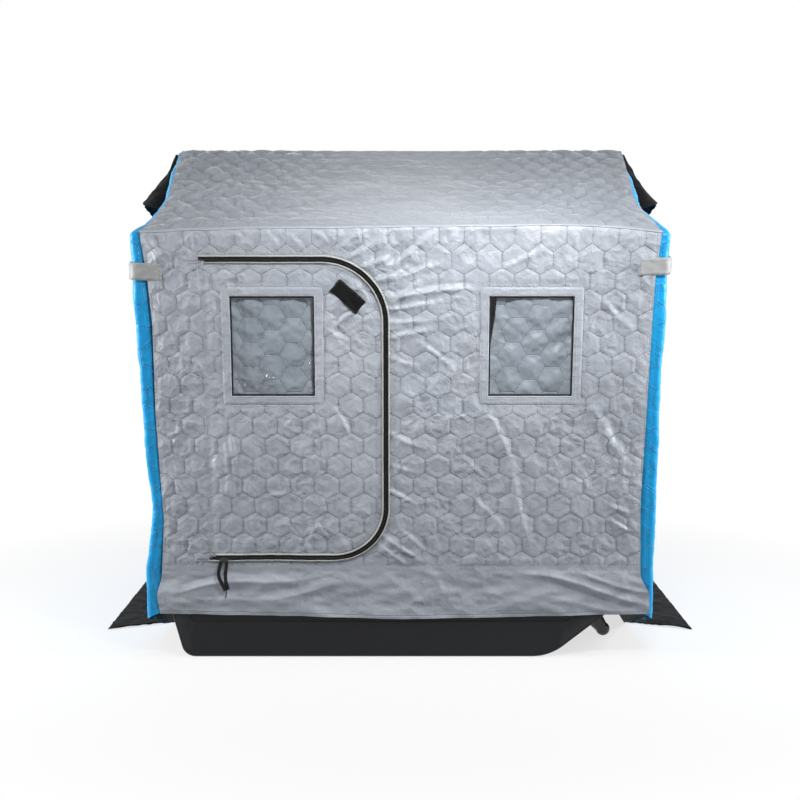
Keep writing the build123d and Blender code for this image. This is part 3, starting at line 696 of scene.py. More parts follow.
# folds as start, end, height, width: ridges that fade towards their ends
foldGain = 1.6
nearFolds = [
    ((-0.33, 1.71), (-0.27, 1.64), 0.005, 0.009), ((-0.53, 1.69), (-0.46, 1.63), 0.005, 0.009),
    ((-0.64, 1.71), (-0.57, 1.63), 0.005, 0.009), ((-0.41, 1.70), (-0.34, 1.64), 0.005, 0.009),
    ((-0.21, 1.63), (-0.12, 1.71), 0.006, 0.009), ((-0.19, 1.60), (-0.07, 1.68), 0.008, 0.010),
    ((-0.16, 1.57), (-0.02, 1.64), 0.008, 0.010), ((-0.12, 1.53), (0.05, 1.60), 0.008, 0.010),
    ((-0.08, 1.58), (0.22, 1.72), 0.009, 0.012), ((-0.07, 1.54), (0.17, 1.58), 0.008, 0.011),
    ((-0.06, 1.48), (0.32, 1.47), 0.010, 0.013), ((-0.06, 1.43), (0.19, 1.43), 0.007, 0.010),
    ((-0.06, 1.32), (0.15, 1.33), 0.008, 0.011), ((-0.05, 1.38), (0.12, 1.36), 0.006, 0.009),
    ((0.05, 1.28), (0.23, 1.15), 0.006, 0.009), ((-0.05, 1.25), (0.09, 1.17), 0.005, 0.010),
    ((-0.03, 1.45), (0.11, 1.53), 0.005, 0.010), ((0.38, 1.54), (0.63, 1.68), 0.005, 0.009),
    ((-0.98, 1.69), (-0.86, 1.60), 0.009, 0.016), ((-0.96, 1.60), (-0.85, 1.65), 0.005, 0.012),
    ((-0.28, 1.31), (-0.12, 1.42), 0.006, 0.010), ((-0.30, 1.33), (-0.20, 1.27), 0.006, 0.009),
    ((-0.23, 1.45), (-0.18, 1.38), 0.005, 0.009), ((-0.27, 1.57), (-0.18, 1.53), 0.005, 0.008),
    ((-0.18, 1.52), (-0.11, 1.45), 0.004, 0.008), ((-0.77, 0.99), (-0.70, 1.07), 0.004, 0.009),
    ((0.32, 1.04), (0.43, 0.78), 0.006, 0.016), ((0.40, 0.83), (0.58, 0.38), 0.006, 0.018),
    ((0.27, 0.83), (0.36, 0.71), 0.005, 0.010), ((0.29, 0.68), (0.41, 0.51), 0.006, 0.011),
    ((-0.04, 0.94), (0.09, 0.85), 0.006, 0.010), ((-0.04, 0.71), (0.07, 0.63), 0.006, 0.010),
    ((-0.03, 0.81), (0.08, 0.75), 0.005, 0.009), ((-0.08, 0.50), (0.05, 0.38), 0.008, 0.008),
    ((-0.06, 0.53), (0.08, 0.40), 0.008, 0.008), ((-0.01, 0.55), (0.11, 0.41), 0.006, 0.009),
    ((0.73, 1.03), (0.90, 0.86), 0.005, 0.015), ((0.78, 0.96), (0.94, 0.81), 0.0045, 0.014),
    ((0.86, 0.59), (0.96, 0.53), 0.006, 0.009), ((0.84, 0.66), (0.97, 0.61), 0.005, 0.009),
    ((-0.69, 1.05), (-0.71, 0.57), 0.003, 0.008), ((-0.67, 1.05), (-0.68, 0.57), 0.003, 0.008),
    ((-0.34, 1.05), (-0.34, 0.64), 0.003, 0.007), ((-0.32, 1.05), (-0.32, 0.64), 0.003, 0.007),
    ((-0.28, 1.04), (-0.21, 0.90), 0.006, 0.009), ((-0.44, 0.57), (-0.35, 0.47), 0.005, 0.008),
    ((-0.40, 0.47), (-0.33, 0.58), 0.005, 0.008), ((-0.33, 0.57), (-0.28, 0.48), 0.005, 0.008),
    ((-0.52, 0.66), (-0.43, 0.68), 0.004, 0.008), ((-0.94, 0.78), (-0.89, 0.66), 0.004, 0.010),
    ((-0.94, 1.22), (-0.90, 1.10), 0.004, 0.010), ((0.77, 1.45), (0.93, 1.33), 0.004, 0.012),
    ((0.55, 0.98), (0.62, 1.06), 0.004, 0.008), ((0.16, 0.98), (0.27, 1.02), 0.004, 0.009),
]


def foldHeight(u, v, folds):
    height = np.zeros(np.broadcast(u, v).shape)
    for (x0, y0), (x1, y1), tall, wide in folds:
        dx, dy = x1 - x0, y1 - y0
        length = math.hypot(dx, dy)
        along = ((u - x0) * dx + (v - y0) * dy) / length
        side = ((u - x0) * dy - (v - y0) * dx) / length
        side = side + 0.02 * np.sin(along * 9 + x0 * 20)
        fade = smooth(along, -0.02, 0.25 * length) * (1 - smooth(along, 0.55 * length, length * 1.05))
        ridge = np.exp(-np.abs(side) / wide) - 0.45 * np.exp(-np.abs(side + 1.6 * wide) / wide)
        height += tall * fade * ridge
    return height


# 1 on the hinge's fold, 0 away from it
def hingeNear(u, v, reach):
    beside = smooth(v - doorEdge["bottom"], -0.03, 0.03) * (1 - smooth(v - doorEdge["top"], -0.03, 0.03))
    return beside * (1 - smooth(np.abs(u - doorEdge["left"]), 0.0, reach))


def nearHeight(u, v):
    height = 0.0035 * ripple(u, v, 0.42, 5) + 0.0016 * ripple(u * 1.3, v, 0.13, 8)
    height += foldGain * foldHeight(u, v, nearFolds)
    calm = smooth(eaveV - v, 0.0, 0.03) * smooth(v - bandV, -0.02, 0.04)
    calm = calm * (0.15 + 0.85 * smooth(greyHalf - np.abs(u), 0.0, 0.06))
    for box in openings.values():
        calm = calm * smooth(outsideOf(u, v, box), 0.01, 0.10)
    return height * calm * (1 - 0.9 * hingeNear(u, v, 0.05))


# wall pattern to its place: the side edges are drawn in by the seams
def onNear(u, v, lift):
    part = np.abs(u) / greyHalf
    seamX = np.where(u < 0, seamEdge[-1](v), seamEdge[1](v))
    x = u + np.sign(u) * (seamX - greyHalf) * part ** 4
    y, z = wallFoot[1] + v * wallUp[1], v * wallUp[2]
    return onProfile(x, y, z, lift)


# how freely the padding puffs up: less beside the zip, the windows, the hem, the hinge and the edges
def nearTight(u, v):
    tight = 0.1 + 0.9 * smooth(alongLine(u, v, doorLine())[0], 0.012, 0.05)
    for box in openings.values():
        tight = tight * (0.15 + 0.85 * smooth(outsideOf(u, v, box), 0.03, 0.07))
    tight *= 0.25 + 0.75 * smooth(v - bandV, 0.0, 0.03)
    tight *= 1 - 0.85 * hingeNear(u, v, 0.03)
    tight *= 0.3 + 0.7 * smooth(eaveV - v, 0.0, 0.04)
    return tight * (0.4 + 0.6 * smooth(greyHalf - np.abs(u), 0.0, 0.03))


def placeNear(u, v, h):
    return onNear(u, v, 0.001 + h + nearHeight(u, v))


# puckered rows beside the zip and round the windows
def nearRows(u, v):
    away, run = alongLine(u, v, doorLine())
    gap = np.abs(away - zipRow)
    for box in openings.values():
        closer = np.abs(outsideOf(u, v, box) - windowRow)
        run = np.where(closer < gap, u + v, run)
        gap = np.minimum(gap, closer)
    return gap, run


wallSheet = hexSheet((-greyHalf, bandV), (greyHalf, eaveV + 0.012), quilting)
cutHole(wallSheet, doorLine(0.002), doorLine(-0.002))
cutHole(wallSheet, openings["wall"])
cutHole(wallSheet, openings["door"])
nearData = quiltMesh(wallSheet, quilting, "near", placeNear, tight=nearTight, rows=nearRows)
pieceFrom(partOf(nearData, 0, "near_wall_quilt"), "near_wall_quilt", greyCloth, "hut",
          ["near_wall_header", "near_wall_left_strip", "near_wall_right_panel", "near_wall_sill"])
pieceFrom(partOf(nearData, 1, "door_flap_quilt"), "door_flap_quilt", greyCloth, "door", ["door_flap"])
print("near wall quilted")

# plain band along the hem, which hangs a little lower in the middle
hemDrop = curve([(-1.1, 0.189), (-0.97, 0.184), (-0.4, 0.175), (0, 0.163), (0.4, 0.170), (1.1, 0.187)], 0.05)
hemFolds = [
    ((-0.97, 0.26), (-0.25, 0.37), 0.014, 0.018),
    ((-0.90, 0.21), (-0.10, 0.33), 0.008, 0.020),
    ((1.00, 0.24), (0.42, 0.36), 0.016, 0.018),
    ((1.00, 0.29), (0.62, 0.37), 0.010, 0.012),
    ((0.98, 0.20), (0.50, 0.25), 0.007, 0.016),
    ((-0.05, 0.36), (0.10, 0.20), 0.005, 0.020),
    ((0.10, 0.36), (0.20, 0.24), 0.004, 0.016),
    ((-0.50, 0.36), (-0.62, 0.22), 0.003, 0.020),
]


def hemHeight(u, v):
    free = smooth(bandV - v, 0.0, 0.06)
    calm = smooth(bandV - v, 0.0, 0.02)
    height = 0.004 * ripple(u, v * 2.2, 0.30, 31) * free + 0.0012 * ripple(u, v * 1.5, 0.07, 12) * calm
    shallow, _ = puffs(u, v, quilting, 4)
    return height + foldHeight(u, v, hemFolds) * calm + 0.10 * shallow * smooth(v - 0.2, 0, 0.05) * calm


bandSheet = gridSheet((-greyHalf, 0), (greyHalf, 1), 0.007)
bmesh.ops.delete(bandSheet, geom=[v for v in bandSheet.verts if v.co.y > 0.26], context="VERTS")
bandData = toMesh(bandSheet, "hem_band")
flat = vertexArray(bandData)
u = flat[:, 0]
t = flat[:, 1] / flat[:, 1].max()
v = hemDrop(u) + (bandV + 0.006 - hemDrop(u)) * t
setPlaces(bandData, onNear(u, v, 0.0025 + hemHeight(u, v)))
rowGap = np.minimum(np.abs(v - bandV + 0.003), np.abs(v - hemDrop(u) - 0.012))
setAttribute(bandData, "seam", np.stack([rowGap, u, 0 * u], -1))
hemBand = pieceFrom(bandData, "hem_band", plainGrey, "hut", ["near_wall_hem"])
bandCut = float(bandV + 0.006 - hemDrop(np.linspace(-greyHalf, greyHalf, 40)).mean())
print("hem band made")

# roof, one sheet over both slopes: s runs up the near one and down the far one
roofQuilt = dict(quilting, divisions=6, row=0.02)
roofFolds = [
    ((-0.95, 0.95), (-0.35, 0.35), 0.006, 0.018),
    ((-0.97, 0.25), (-0.60, 0.40), 0.007, 0.016),
    ((-0.96, 0.35), (-0.62, 0.55), 0.006, 0.014),
    ((-0.95, 0.12), (-0.70, 0.22), 0.006, 0.016),
    ((-0.60, 0.70), (-0.30, 0.15), 0.004, 0.020),
    ((0.95, 0.95), (0.45, 0.40), 0.006, 0.018),
    ((0.97, 0.25), (0.60, 0.42), 0.007, 0.016),
    ((0.95, 0.40), (0.65, 0.62), 0.006, 0.014),
    ((-0.95, 1.35), (-0.45, 1.95), 0.006, 0.018),
    ((0.95, 1.35), (0.45, 1.95), 0.006, 0.018),
    ((0.20, 1.40), (0.35, 2.05), 0.004, 0.022),
]


# the roof sags a little between eave and ridge, and ripples more towards its ends
def placeRoof(u, s, h):
    spot = np.where(s <= roofRun, s, 2 * roofRun - s)
    along = np.clip(spot / roofRun, 0, 1)
    edgeX = np.where(u < 0, roofEdge[-1](spot), roofEdge[1](spot))
    x = u + np.sign(u) * (edgeX - greyHalf) * (np.abs(u) / greyHalf) ** 4
    sign = np.where(s <= roofRun, -1, 1)
    y = sign * (eaveY - spot * math.cos(roofSlope))
    z = eaveZ + spot * math.sin(roofSlope)
    ends = smooth(np.abs(u), 0.15, 0.75)
    height = (0.0012 + 0.0035 * ends) * ripple(u * 1.2, s, 0.16, 41) + 0.004 * ripple(u, s, 0.5, 43)
    height = height * np.sin(np.pi * along) ** 0.6
    height -= 0.006 * np.sin(np.pi * along)
    height += foldHeight(u, s, roofFolds)
    height = height * (0.15 + 0.85 * smooth(greyHalf - np.abs(u), 0.0, 0.06))
    return onProfile(x, y, z, 0.0015 + h * (0.20 + ends) + height)


def roofTight(u, s):
    eaves = 0.25 + 0.75 * smooth(np.minimum(s, 2 * roofRun - s), 0.0, 0.05)
    ends = 0.4 + 0.6 * smooth(greyHalf - np.abs(u), 0.0, 0.03)
    ridge = 0.5 + 0.5 * smooth(np.abs(s - roofRun), 0.0, 0.05)
    return eaves * ends * ridge


roofSheet = hexSheet((-greyHalf, -0.004), (greyHalf, 2 * roofRun + 0.004), roofQuilt)
roofData = quiltMesh(roofSheet, roofQuilt, "roof_quilt", placeRoof, 60, roofTight)
pieceFrom(roofData, "roof_quilt", shadedRoofCloth, "hut", ["roof_near", "roof_far"])
print("roof quilted")

# blue sides, which turn over onto both walls and the roof
sideQuilt = dict(quilting, divisions=5, row=0.90, column=-1.0)
turnOver = 0.078
sideFolds = [
    ((-0.92, 0.35), (-0.60, 0.95), 0.008, 0.025),
    ((-0.98, 1.50), (-0.50, 1.40), 0.006, 0.025),
    ((0.60, 0.40), (0.20, 1.20), 0.008, 0.030),
    ((-0.20, 1.60), (0.30, 1.20), 0.006, 0.030),
    ((0.90, 1.50), (0.50, 0.90), 0.007, 0.030),
    ((-0.30, 0.30), (0.50, 0.10), 0.008, 0.025),
]


def sideOutline(grow):
    near = np.array([wallFoot[1], 0]) + hemV * np.array([wallUp[1], wallUp[2]])
    return [(near[0] - grow, near[1]), (-eaveY - grow, eaveZ + grow * 0.4),
            (-eaveY - grow * 0.5, eaveZ + grow), (0, ridgeZ + grow * 1.06),
            (eaveY + grow * 0.5, eaveZ + grow), (eaveY + grow, eaveZ + grow * 0.4),
            (farFootY + grow, 0.002), (sideFootY, 0.002)]


for side in (-1, 1):
    def placeSide(p, z, h, side=side):
        wrinkle = 0.0022 * ripple(p, z, 0.30, 71 + side) + 0.0006 * ripple(p, z * 1.4, 0.08, 75 + side)
        over = np.maximum(0, profileFoot(p, z)[2] - skin["round"])
        height = (h + wrinkle + foldHeight(p, z, sideFolds)) * (1 - 0.85 * smooth(over, 0.0, 0.022))
        drop = 0.001 + 0.004 * smooth(over, 0.012, 0.03) + 0.009 * smooth(over, 0.05, 0.065)
        return onSide(p, z, height - drop, side)

    def sideTight(p, z):
        nearGap = p - (wallFoot[1] + z * wallUp[1] / wallUp[2])
        farGap = farFootY + z * farUp[1] / farUp[2] - p
        topGap = eaveZ + (eaveY - np.abs(p)) * math.tan(roofSlope) - z
        edges = smooth(np.minimum(np.minimum(nearGap, farGap), topGap), 0.0, 0.10)
        return (0.35 + 0.65 * smooth(poleGap(p, z), 0.0, 0.06)) * (0.2 + 0.8 * edges)

    sideSheet = hexSheet((-eaveY - turnOver, 0), (eaveY + turnOver, ridgeZ + turnOver), sideQuilt)
    cutLines(sideSheet, sideOutline(turnOver), clear=True)
    word = "right" if side > 0 else "left"
    corners = ["near_corner_bands", "far_corner_bands"] if side > 0 else []
    sideData = quiltMesh(sideSheet, sideQuilt, "side_quilt_" + word, placeSide, 80 + side, sideTight)
    if side < 0:
        bmeshFlip(sideData)
    pieceFrom(sideData, "side_quilt_" + word, blueCloth, "hut", ["side_wall_" + word] + corners)
print("sides quilted")

# far wall, with its pattern drawn as it reads from outside
farQuilt = dict(quilting, divisions=5, row=0.90)
farFolds = [
    ((-0.25, 1.45), (0.25, 1.30), 0.008, 0.024),
    ((-0.20, 1.25), (0.20, 1.35), 0.007, 0.022),
    ((-0.80, 0.90), (-0.40, 0.30), 0.010, 0.028),
    ((0.75, 0.95), (0.35, 0.25), 0.010, 0.028),
    ((0.95, 1.65), (0.70, 1.55), 0.009, 0.022),
    ((-0.95, 1.65), (-0.72, 1.56), 0.009, 0.022),
    ((-0.10, 0.80), (0.10, 0.20), 0.008, 0.030),
]


def onFar(u, v, lift):
    x = -u - np.sign(u) * (farSeam(v) - greyHalf) * (np.abs(u) / greyHalf) ** 4
    y, z = farFootY + v * farUp[1], v * farUp[2]
    return onProfile(x, y, z, lift)


def farHeight(u, v):
    height = 0.005 * ripple(u, v, 0.42, 15) + 0.0016 * ripple(u * 1.3, v, 0.13, 18)
    height += foldHeight(u, v, farFolds)
    calm = smooth(farTopV - v, 0.0, 0.03) * (0.15 + 0.85 * smooth(greyHalf - np.abs(u), 0.0, 0.06))
    for box in farOpenings:
        calm = calm * smooth(outsideOf(u, v, box), 0.01, 0.10)
    return height * calm


def farTight(u, v):
    tight = 0.4 + 0.6 * smooth(greyHalf - np.abs(u), 0.0, 0.03)
    for box in farOpenings:
        tight = tight * (0.15 + 0.85 * smooth(outsideOf(u, v, box), 0.03, 0.07))
    return tight * (0.3 + 0.7 * smooth(farTopV - v, 0.0, 0.04))


farSheet = hexSheet((-greyHalf, 0.002), (greyHalf, farTopV + 0.012), farQuilt)
for box in farOpenings:
    cutHole(farSheet, box)
farData = quiltMesh(farSheet, farQuilt, "far_wall_quilt",
                    lambda u, v, h: onFar(u, v, 0.001 + h + farHeight(u, v)), 120, farTight)
pieceFrom(farData, "far_wall_quilt", greyCloth, "hut", ["far_wall"])
print("far wall quilted")


# grain is in bumps a metre: real ones are 0.3 mm across, too fine to show, so they're drawn at 1 to 4 mm
def moulded(name, colour, shade, rough, grain, depth=0.0001, metal=0.0, edge=0.0, shine=0.5):
    material, tree = newMaterial(name)
    where = addNode(tree, "TexCoord", out="Object")
    broad = addNode(tree, "TexNoise", {"Vector": where, "Scale": 5.0, "Detail": 4.0})
    fine = addNode(tree, "TexNoise", {"Vector": where, "Scale": grain, "Detail": 2.0})
    tint = addNode(tree, "Mix", {0: addNode(tree, "MapRange", {0: broad, 1: 0.35, 2: 0.65}),
                                 6: linearColour(colour), 7: linearColour(shade)}, out=2, data_type="RGBA")
    # the sharpest edges of the mesh are drawn paler
    if edge:
        shape = addNode(tree, "NewGeometry", out="Pointiness")
        paleEdge = addNode(tree, "MapRange", {0: shape, 1: 0.52, 2: 0.60, 3: 0.0, 4: edge})
        tint = addNode(tree, "Mix", {0: paleEdge, 6: tint, 7: linearColour("#6B6D70")}, out=2, data_type="RGBA")
    finish(tree, {"Base Color": tint, "Metallic": metal, "Specular IOR Level": shine,
                  "Roughness": addNode(tree, "MapRange", {0: broad, 3: rough - 0.08, 4: rough + 0.08}),
                  "Normal": addNode(tree, "Bump", {"Height": fine, "Strength": 0.5, "Distance": depth})})
    return material


# moulded polyethylene: a low sheen over a fine grain, drawn paler along its sharp edges
sledPlastic = moulded("moulded black polyethylene", "#17181A", "#1C1D1F", rough=0.46, grain=420.0,
                      depth=0.00025, edge=0.25, shine=0.25)
# moulded nylon: small, fairly sharp highlights on black
blackPlastic = moulded("injection moulded black nylon", "#161718", "#1C1D1F", rough=0.38, grain=900.0)
# anodised aluminium: a soft grey mirror along each tube
tubeMetal = moulded("anodised aluminium tube", "#8E9296", "#A2A6AA", rough=0.32, grain=260.0, metal=0.9)
# painted steel: smooth black, worn paler at its edges
steelPlate = moulded("black painted steel", "#1B1C1E", "#232426", rough=0.35, grain=500.0, edge=0.3)
# woven tape with a beaded face: a flat pale grey, with no sharp highlight by day
tapeCloth = fabric("reflective grey tape", "#A6A7A7", "#B0B1B1", rough=0.5, weave=0.9, crumple=0.15, fine=0.1,
                   thread="#B4B5B2")
# woven binding tape: a pale matt line with its own row of stitches
edgeTape = fabric("beige-grey binding tape", "#C2C2BE", "#CBCBC7", rough=0.6, weave=0.9, crumple=0.1,
                  fine=0.1, thread="#D2D1CA", stitch=0.004)
# tightly woven black tape: matt, and darker than the coil on it
zipTape = fabric("black zip tape", "#0E0E0F", "#141415", rough=0.5, weave=0.7, crumple=0.05,
                 fine=0.1, shine=0.2, thread="#2A2B2D")
# the wall's cloth behind film: the same satin, its colour painted a little darker as shade
blindCloth = fabric("coated polyester, window blind", "#ABB2BC", "#A1A9B3", rough=0.40, thread="#B4BAC2",
                    groove=0.9)

# nylon coil with teeth 2.4 mm apart: a finely rippled black line that glints
zipCoil, tree = newMaterial("black nylon zip coil")
seam = addNode(tree, "Attribute", out="Vector", attribute_name="seam")
run = addNode(tree, "SeparateXYZ", {0: seam}, out=1)
wave = addNode(tree, "Math", {0: run, 1: math.tau / 0.0024}, operation="MULTIPLY")
teeth = addNode(tree, "Math", {0: wave}, operation="SINE")
finish(tree, {"Base Color": linearColour("#121213"), "Roughness": 0.35, "Specular IOR Level": 0.3,
              "Normal": addNode(tree, "Bump", {"Height": teeth, "Strength": 1.0, "Distance": 0.0005})})

# soft loops of the hook-and-loop patch, a fuzzy pile 1 mm deep that swallows the light
pile, tree = newMaterial("black hook-and-loop pile")
where = addNode(tree, "TexCoord", out="Object")
fuzz = addNode(tree, "TexNoise", {"Vector": where, "Scale": 900.0, "Detail": 3.0})
spots = addNode(tree, "TexVoronoi", {"Vector": where, "Scale": 420.0})
tint = addNode(tree, "Mix", {0: fuzz, 6: linearColour("#0B0B0C"), 7: linearColour("#161617")}, out=2,
               data_type="RGBA")
loops = addNode(tree, "Math", {0: fuzz, 1: spots}, operation="ADD")
finish(tree, {"Base Color": tint, "Roughness": 0.9, "Specular IOR Level": 0.2,
              "Normal": addNode(tree, "Bump", {"Height": loops, "Strength": 0.9, "Distance": 0.0012})})

# clear film: see-through head on, glossy where it turns away or creases
clearFilm, tree = newMaterial("clear vinyl film")
where = addNode(tree, "TexCoord", out="Object")
waves = addNode(tree, "TexNoise", {"Vector": where, "Scale": 7.0, "Detail": 1.5})
bump = addNode(tree, "Bump", {"Height": waves, "Strength": 0.35, "Distance": 0.012})
dents = addNode(tree, "TexNoise", {"Vector": where, "Scale": 12.0, "Detail": 1.5})
dents = addNode(tree, "MapRange", {0: dents, 1: 0.58, 2: 0.80})
bump = addNode(tree, "Bump", {"Height": dents, "Strength": 1.0, "Distance": 0.015, "Normal": bump})
facing = addNode(tree, "LayerWeight", {"Normal": bump}, out="Facing")
turned = addNode(tree, "Math", {0: facing, 1: 5.0}, operation="POWER")
finish(tree, {0: addNode(tree, "MapRange", {0: turned, 3: 0.035, 4: 1.0}),
              1: addNode(tree, "BsdfTransparent", {"Color": linearColour("#F7F9FA")}),
              2: addNode(tree, "BsdfAnisotropic", {"Roughness": 0.06, "Normal": bump})}, "MixShader")
print("trim materials ready")


# ribbons: a section swept along a line on a wall
def finerLine(line, step, closed):
    line = [np.array(p, float) for p in line]
    if closed:
        line.append(line[0])
    points = []
    for a, b in zip(line[:-1], line[1:]):
        count = max(1, round(np.hypot(*(b - a)) / step))
        points += [a + (b - a) * n / count for n in range(count)]
    return np.array(points + [line[-1]])


# outward way at each point, longer at corners so that a strip keeps its width
def lineNormals(points, closed):
    d = np.diff(points, axis=0)
    d /= np.hypot(*d.T)[:, None]
    normal = np.stack([d[:, 1], -d[:, 0]], -1)
    before = np.vstack([normal[-1:] if closed else normal[:1], normal])
    after = np.vstack([normal, normal[:1] if closed else normal[-1:]])
    total = before + after
    return total / np.maximum(1e-6, (1 + (before * after).sum(1)))[:, None]


def ribbon(line, section, where, name, step, closed=False, rows=(), ripples=0.0):
    points = finerLine(line, step, closed)
    normals = lineNormals(points, closed)
    runs = np.concatenate([[0], np.cumsum(np.hypot(*np.diff(points, axis=0).T))])
    strip = bmesh.new()
    bmesh.ops.create_grid(strip, x_segments=len(points) - 1, y_segments=len(section) - 1, size=0.5)
    data = toMesh(strip, name)
    co = vertexArray(data)
    i = np.rint((co[:, 0] + 0.5) * (len(points) - 1)).astype(int)
    j = np.rint((co[:, 1] + 0.5) * (len(section) - 1)).astype(int)
    offset, height = np.array(section)[j].T
    spot = points[i] + normals[i] * offset[:, None]
    middle = np.sin(np.pi * j / (len(section) - 1))
    tucks = ripple(spot[:, 0], spot[:, 1], 0.025, 91) + 0.6 * np.sin(runs[i] * 370)
    height = height + ripples * middle * tucks
    setPlaces(data, where(*spot.T, height))
    gap = np.min([np.abs(offset - row) for row in rows], axis=0) if rows else np.full(len(co), 0.02)
    setAttribute(data, "seam", np.stack([gap, runs[i], 0 * gap], -1))
    strip = bmesh.new()
    strip.from_mesh(data)
    bmesh.ops.remove_doubles(strip, verts=strip.verts, dist=0.00005)
    bmesh.ops.reverse_faces(strip, faces=strip.faces)
    strip.to_mesh(data)
    strip.free()
    return data


def joined(name, parts):
    whole = bmesh.new()
    for part in parts:
        whole.from_mesh(part)
        bpy.data.meshes.remove(part)
    return toMesh(whole, name)


def overNear(u, v, h):
    return onNear(u, v, h + nearHeight(u, v))


def overFar(u, v, h):
    return onFar(u, v, h + farHeight(u, v))


def spaced(low, high, count):
    return list(np.linspace(low, high, count))


# windows: a sewn frame, a black edging that paints the shade round the opening, clear film and a quilted
# blind behind it
windowTrim = {"band": 0.034, "blindDepth": 0.017, "cell": 0.012}


def windowPieces(name, box, where, body, nodes, seed, turned):
    (x0, y0), _, (x1, y1), _ = box
    band = windowTrim["band"]
    frameSection = [(-0.0015, -0.002), (-0.001, 0.003), (0.002, 0.0052)]
    frameSection += [(x, 0.0046) for x in spaced(0.006, band - 0.006, 6)]
    frameSection += [(band - 0.003, 0.0036), (band, 0.0012)]
    frameData = ribbon(box, frameSection, where, name + "_frame", 0.007, True,
                       rows=(0.007, band - 0.008), ripples=0.0009)
    # a black strip round the opening: painted shade along the opening's edge
    shadeEdgeSection = [(-0.007, -0.004), (-0.0065, 0.001), (-0.004, 0.0035), (-0.0012, 0.0035), (-0.0008, -0.003)]
    shadeEdgeData = ribbon(box, shadeEdgeSection, where, name + "_edging", 0.012, True)
    filmSheet = gridSheet((x0 - 0.002, y0 - 0.002), (x1 + 0.002, y1 + 0.002), windowTrim["cell"])
    film = toMesh(filmSheet, name + "_film")
    flat = vertexArray(film)
    u, v = flat[:, 0], flat[:, 1]
    rim = np.minimum(np.minimum(u - x0, x1 - u), np.minimum(v - y0, y1 - v))
    wave = smooth(rim, 0, 0.05) * (0.0016 * ripple(u, v, 0.16, seed) + 0.0004 * ripple(u, v, 0.05, seed + 1))
    setPlaces(film, where(u, v, wave - 0.001))
    q = dict(quilting, divisions=6, puff=0.006, squash=1.0, column=(y0 + y1) / 2 + 0.012,
             row=(x0 + x1) / 2 - 0.004)
    grow = 0.012
    blind = hexSheet((y0 - grow, x0 - grow), (y1 + grow, x1 + grow), q)

    def place(b, a, h):
        level, across = b, a + turned * 0.05 * np.sin((b - y0) * 5) * (b - y0) / (y1 - y0)
        sway = 0.003 * ripple(across, level, 0.2, seed + 5) + 0.0012 * ripple(across, level, 0.07, seed + 6)
        return where(across, level, h - windowTrim["blindDepth"] + sway * (1 + 0.5 * turned))

    blindData = quiltMesh(blind, q, name + "_blind", place, seed)
    bmeshFlip(blindData)
    pieceFrom(frameData, name + "_frame_band", plainGrey, body, nodes.get("frame", ()))
    pieceFrom(shadeEdgeData, name + "_edging", zipTape, body, ())
    sheet = pieceFrom(film, name + "_film_sheet", clearFilm, body, nodes.get("film", ()))
    stretched(sheet)
    pieceFrom(blindData, name + "_blind_quilt", blindCloth, body, nodes.get("blind", ()))


for name, body, seed, turned in (("wall", "hut", 210, 0.9), ("door", "door", 230, 0.0)):
    windowPieces(name + "_window", openings[name], overNear, body,
                 {"frame": [name + "_window_frame"], "film": [name + "_window_film"],
                  "blind": [name + "_window_blind"]}, seed, turned)
for n, box in enumerate(farOpenings):
    nodes = {"frame": ["far_window_frames"], "film": ["far_window_films"], "blind": ["far_window_blinds"]}
    windowPieces("far_window_" + "ab"[n], box, overFar, "hut", nodes if n == 0 else {}, 250 + 20 * n, 0.3)
print("windows made")

# door zip, one half on the wall and the other on the door
zipTrim = {"tape": 0.0105, "binding": 0.0048, "lead": 0.015, "hingeGap": 0.014}
doorPath = doorLine(0.0, 26)
wallPath = [(doorPath[0][0] - zipTrim["lead"], doorPath[0][1])] + doorPath[1:-1] + [
    (doorPath[-1][0] - zipTrim["lead"], doorPath[-1][1])]
# the door's half stops short of the hinge, so it clears the wall as the door swings
flapPath = [(doorPath[0][0] + zipTrim["hingeGap"], doorPath[0][1])] + doorPath[1:-1] + [
    (doorPath[-1][0] + zipTrim["hingeGap"], doorPath[-1][1])]
half, rim = zipTrim["tape"], zipTrim["tape"] + zipTrim["binding"]
for body, sign, path, node in (("hut", 1, wallPath, "zip_tape_wall"),
                               ("door", -1, flapPath, "zip_tape_door")):
    start, word = 0.0018, {1: "wall", -1: "door"}[sign]
    tape = [(start, 0.0052), (0.004, 0.0056), (0.007, 0.0054), (half, 0.0060)]
    binding = [(half - 0.001, 0.0060), (half - 0.0004, 0.0080), (half + 0.0016, 0.0088),
               (rim - 0.0012, 0.0082), (rim, 0.0062), (rim + 0.0004, 0.0030)]
    coil = [(0.0001, 0.0066), (0.0007, 0.0080), (0.0016, 0.0085), (0.0025, 0.0080), (0.0031, 0.0064)]
    for kind, section, material, slot in (("tape", tape, zipTape, "black_webbing"),
                                          ("binding", binding, edgeTape, "grey_webbing"),
                                          ("coil", coil, zipCoil, "black_webbing")):
        strip = [(sign * x, h) for x, h in section]
        data = ribbon(path, strip, overNear, "zip_" + kind + "_" + word, 0.006,
                      rows=(sign * (rim - 0.0015),) if kind == "binding" else ())
        if sign < 0:
            bmeshFlip(data)
        pieceFrom(data, "zip_" + word + "_" + kind, material, body, [node] if kind == "tape" else ())

# stitches beside the binding: short raised threads
threads = {"length": 0.0042, "pitch": 0.0075, "radius": 0.0006}


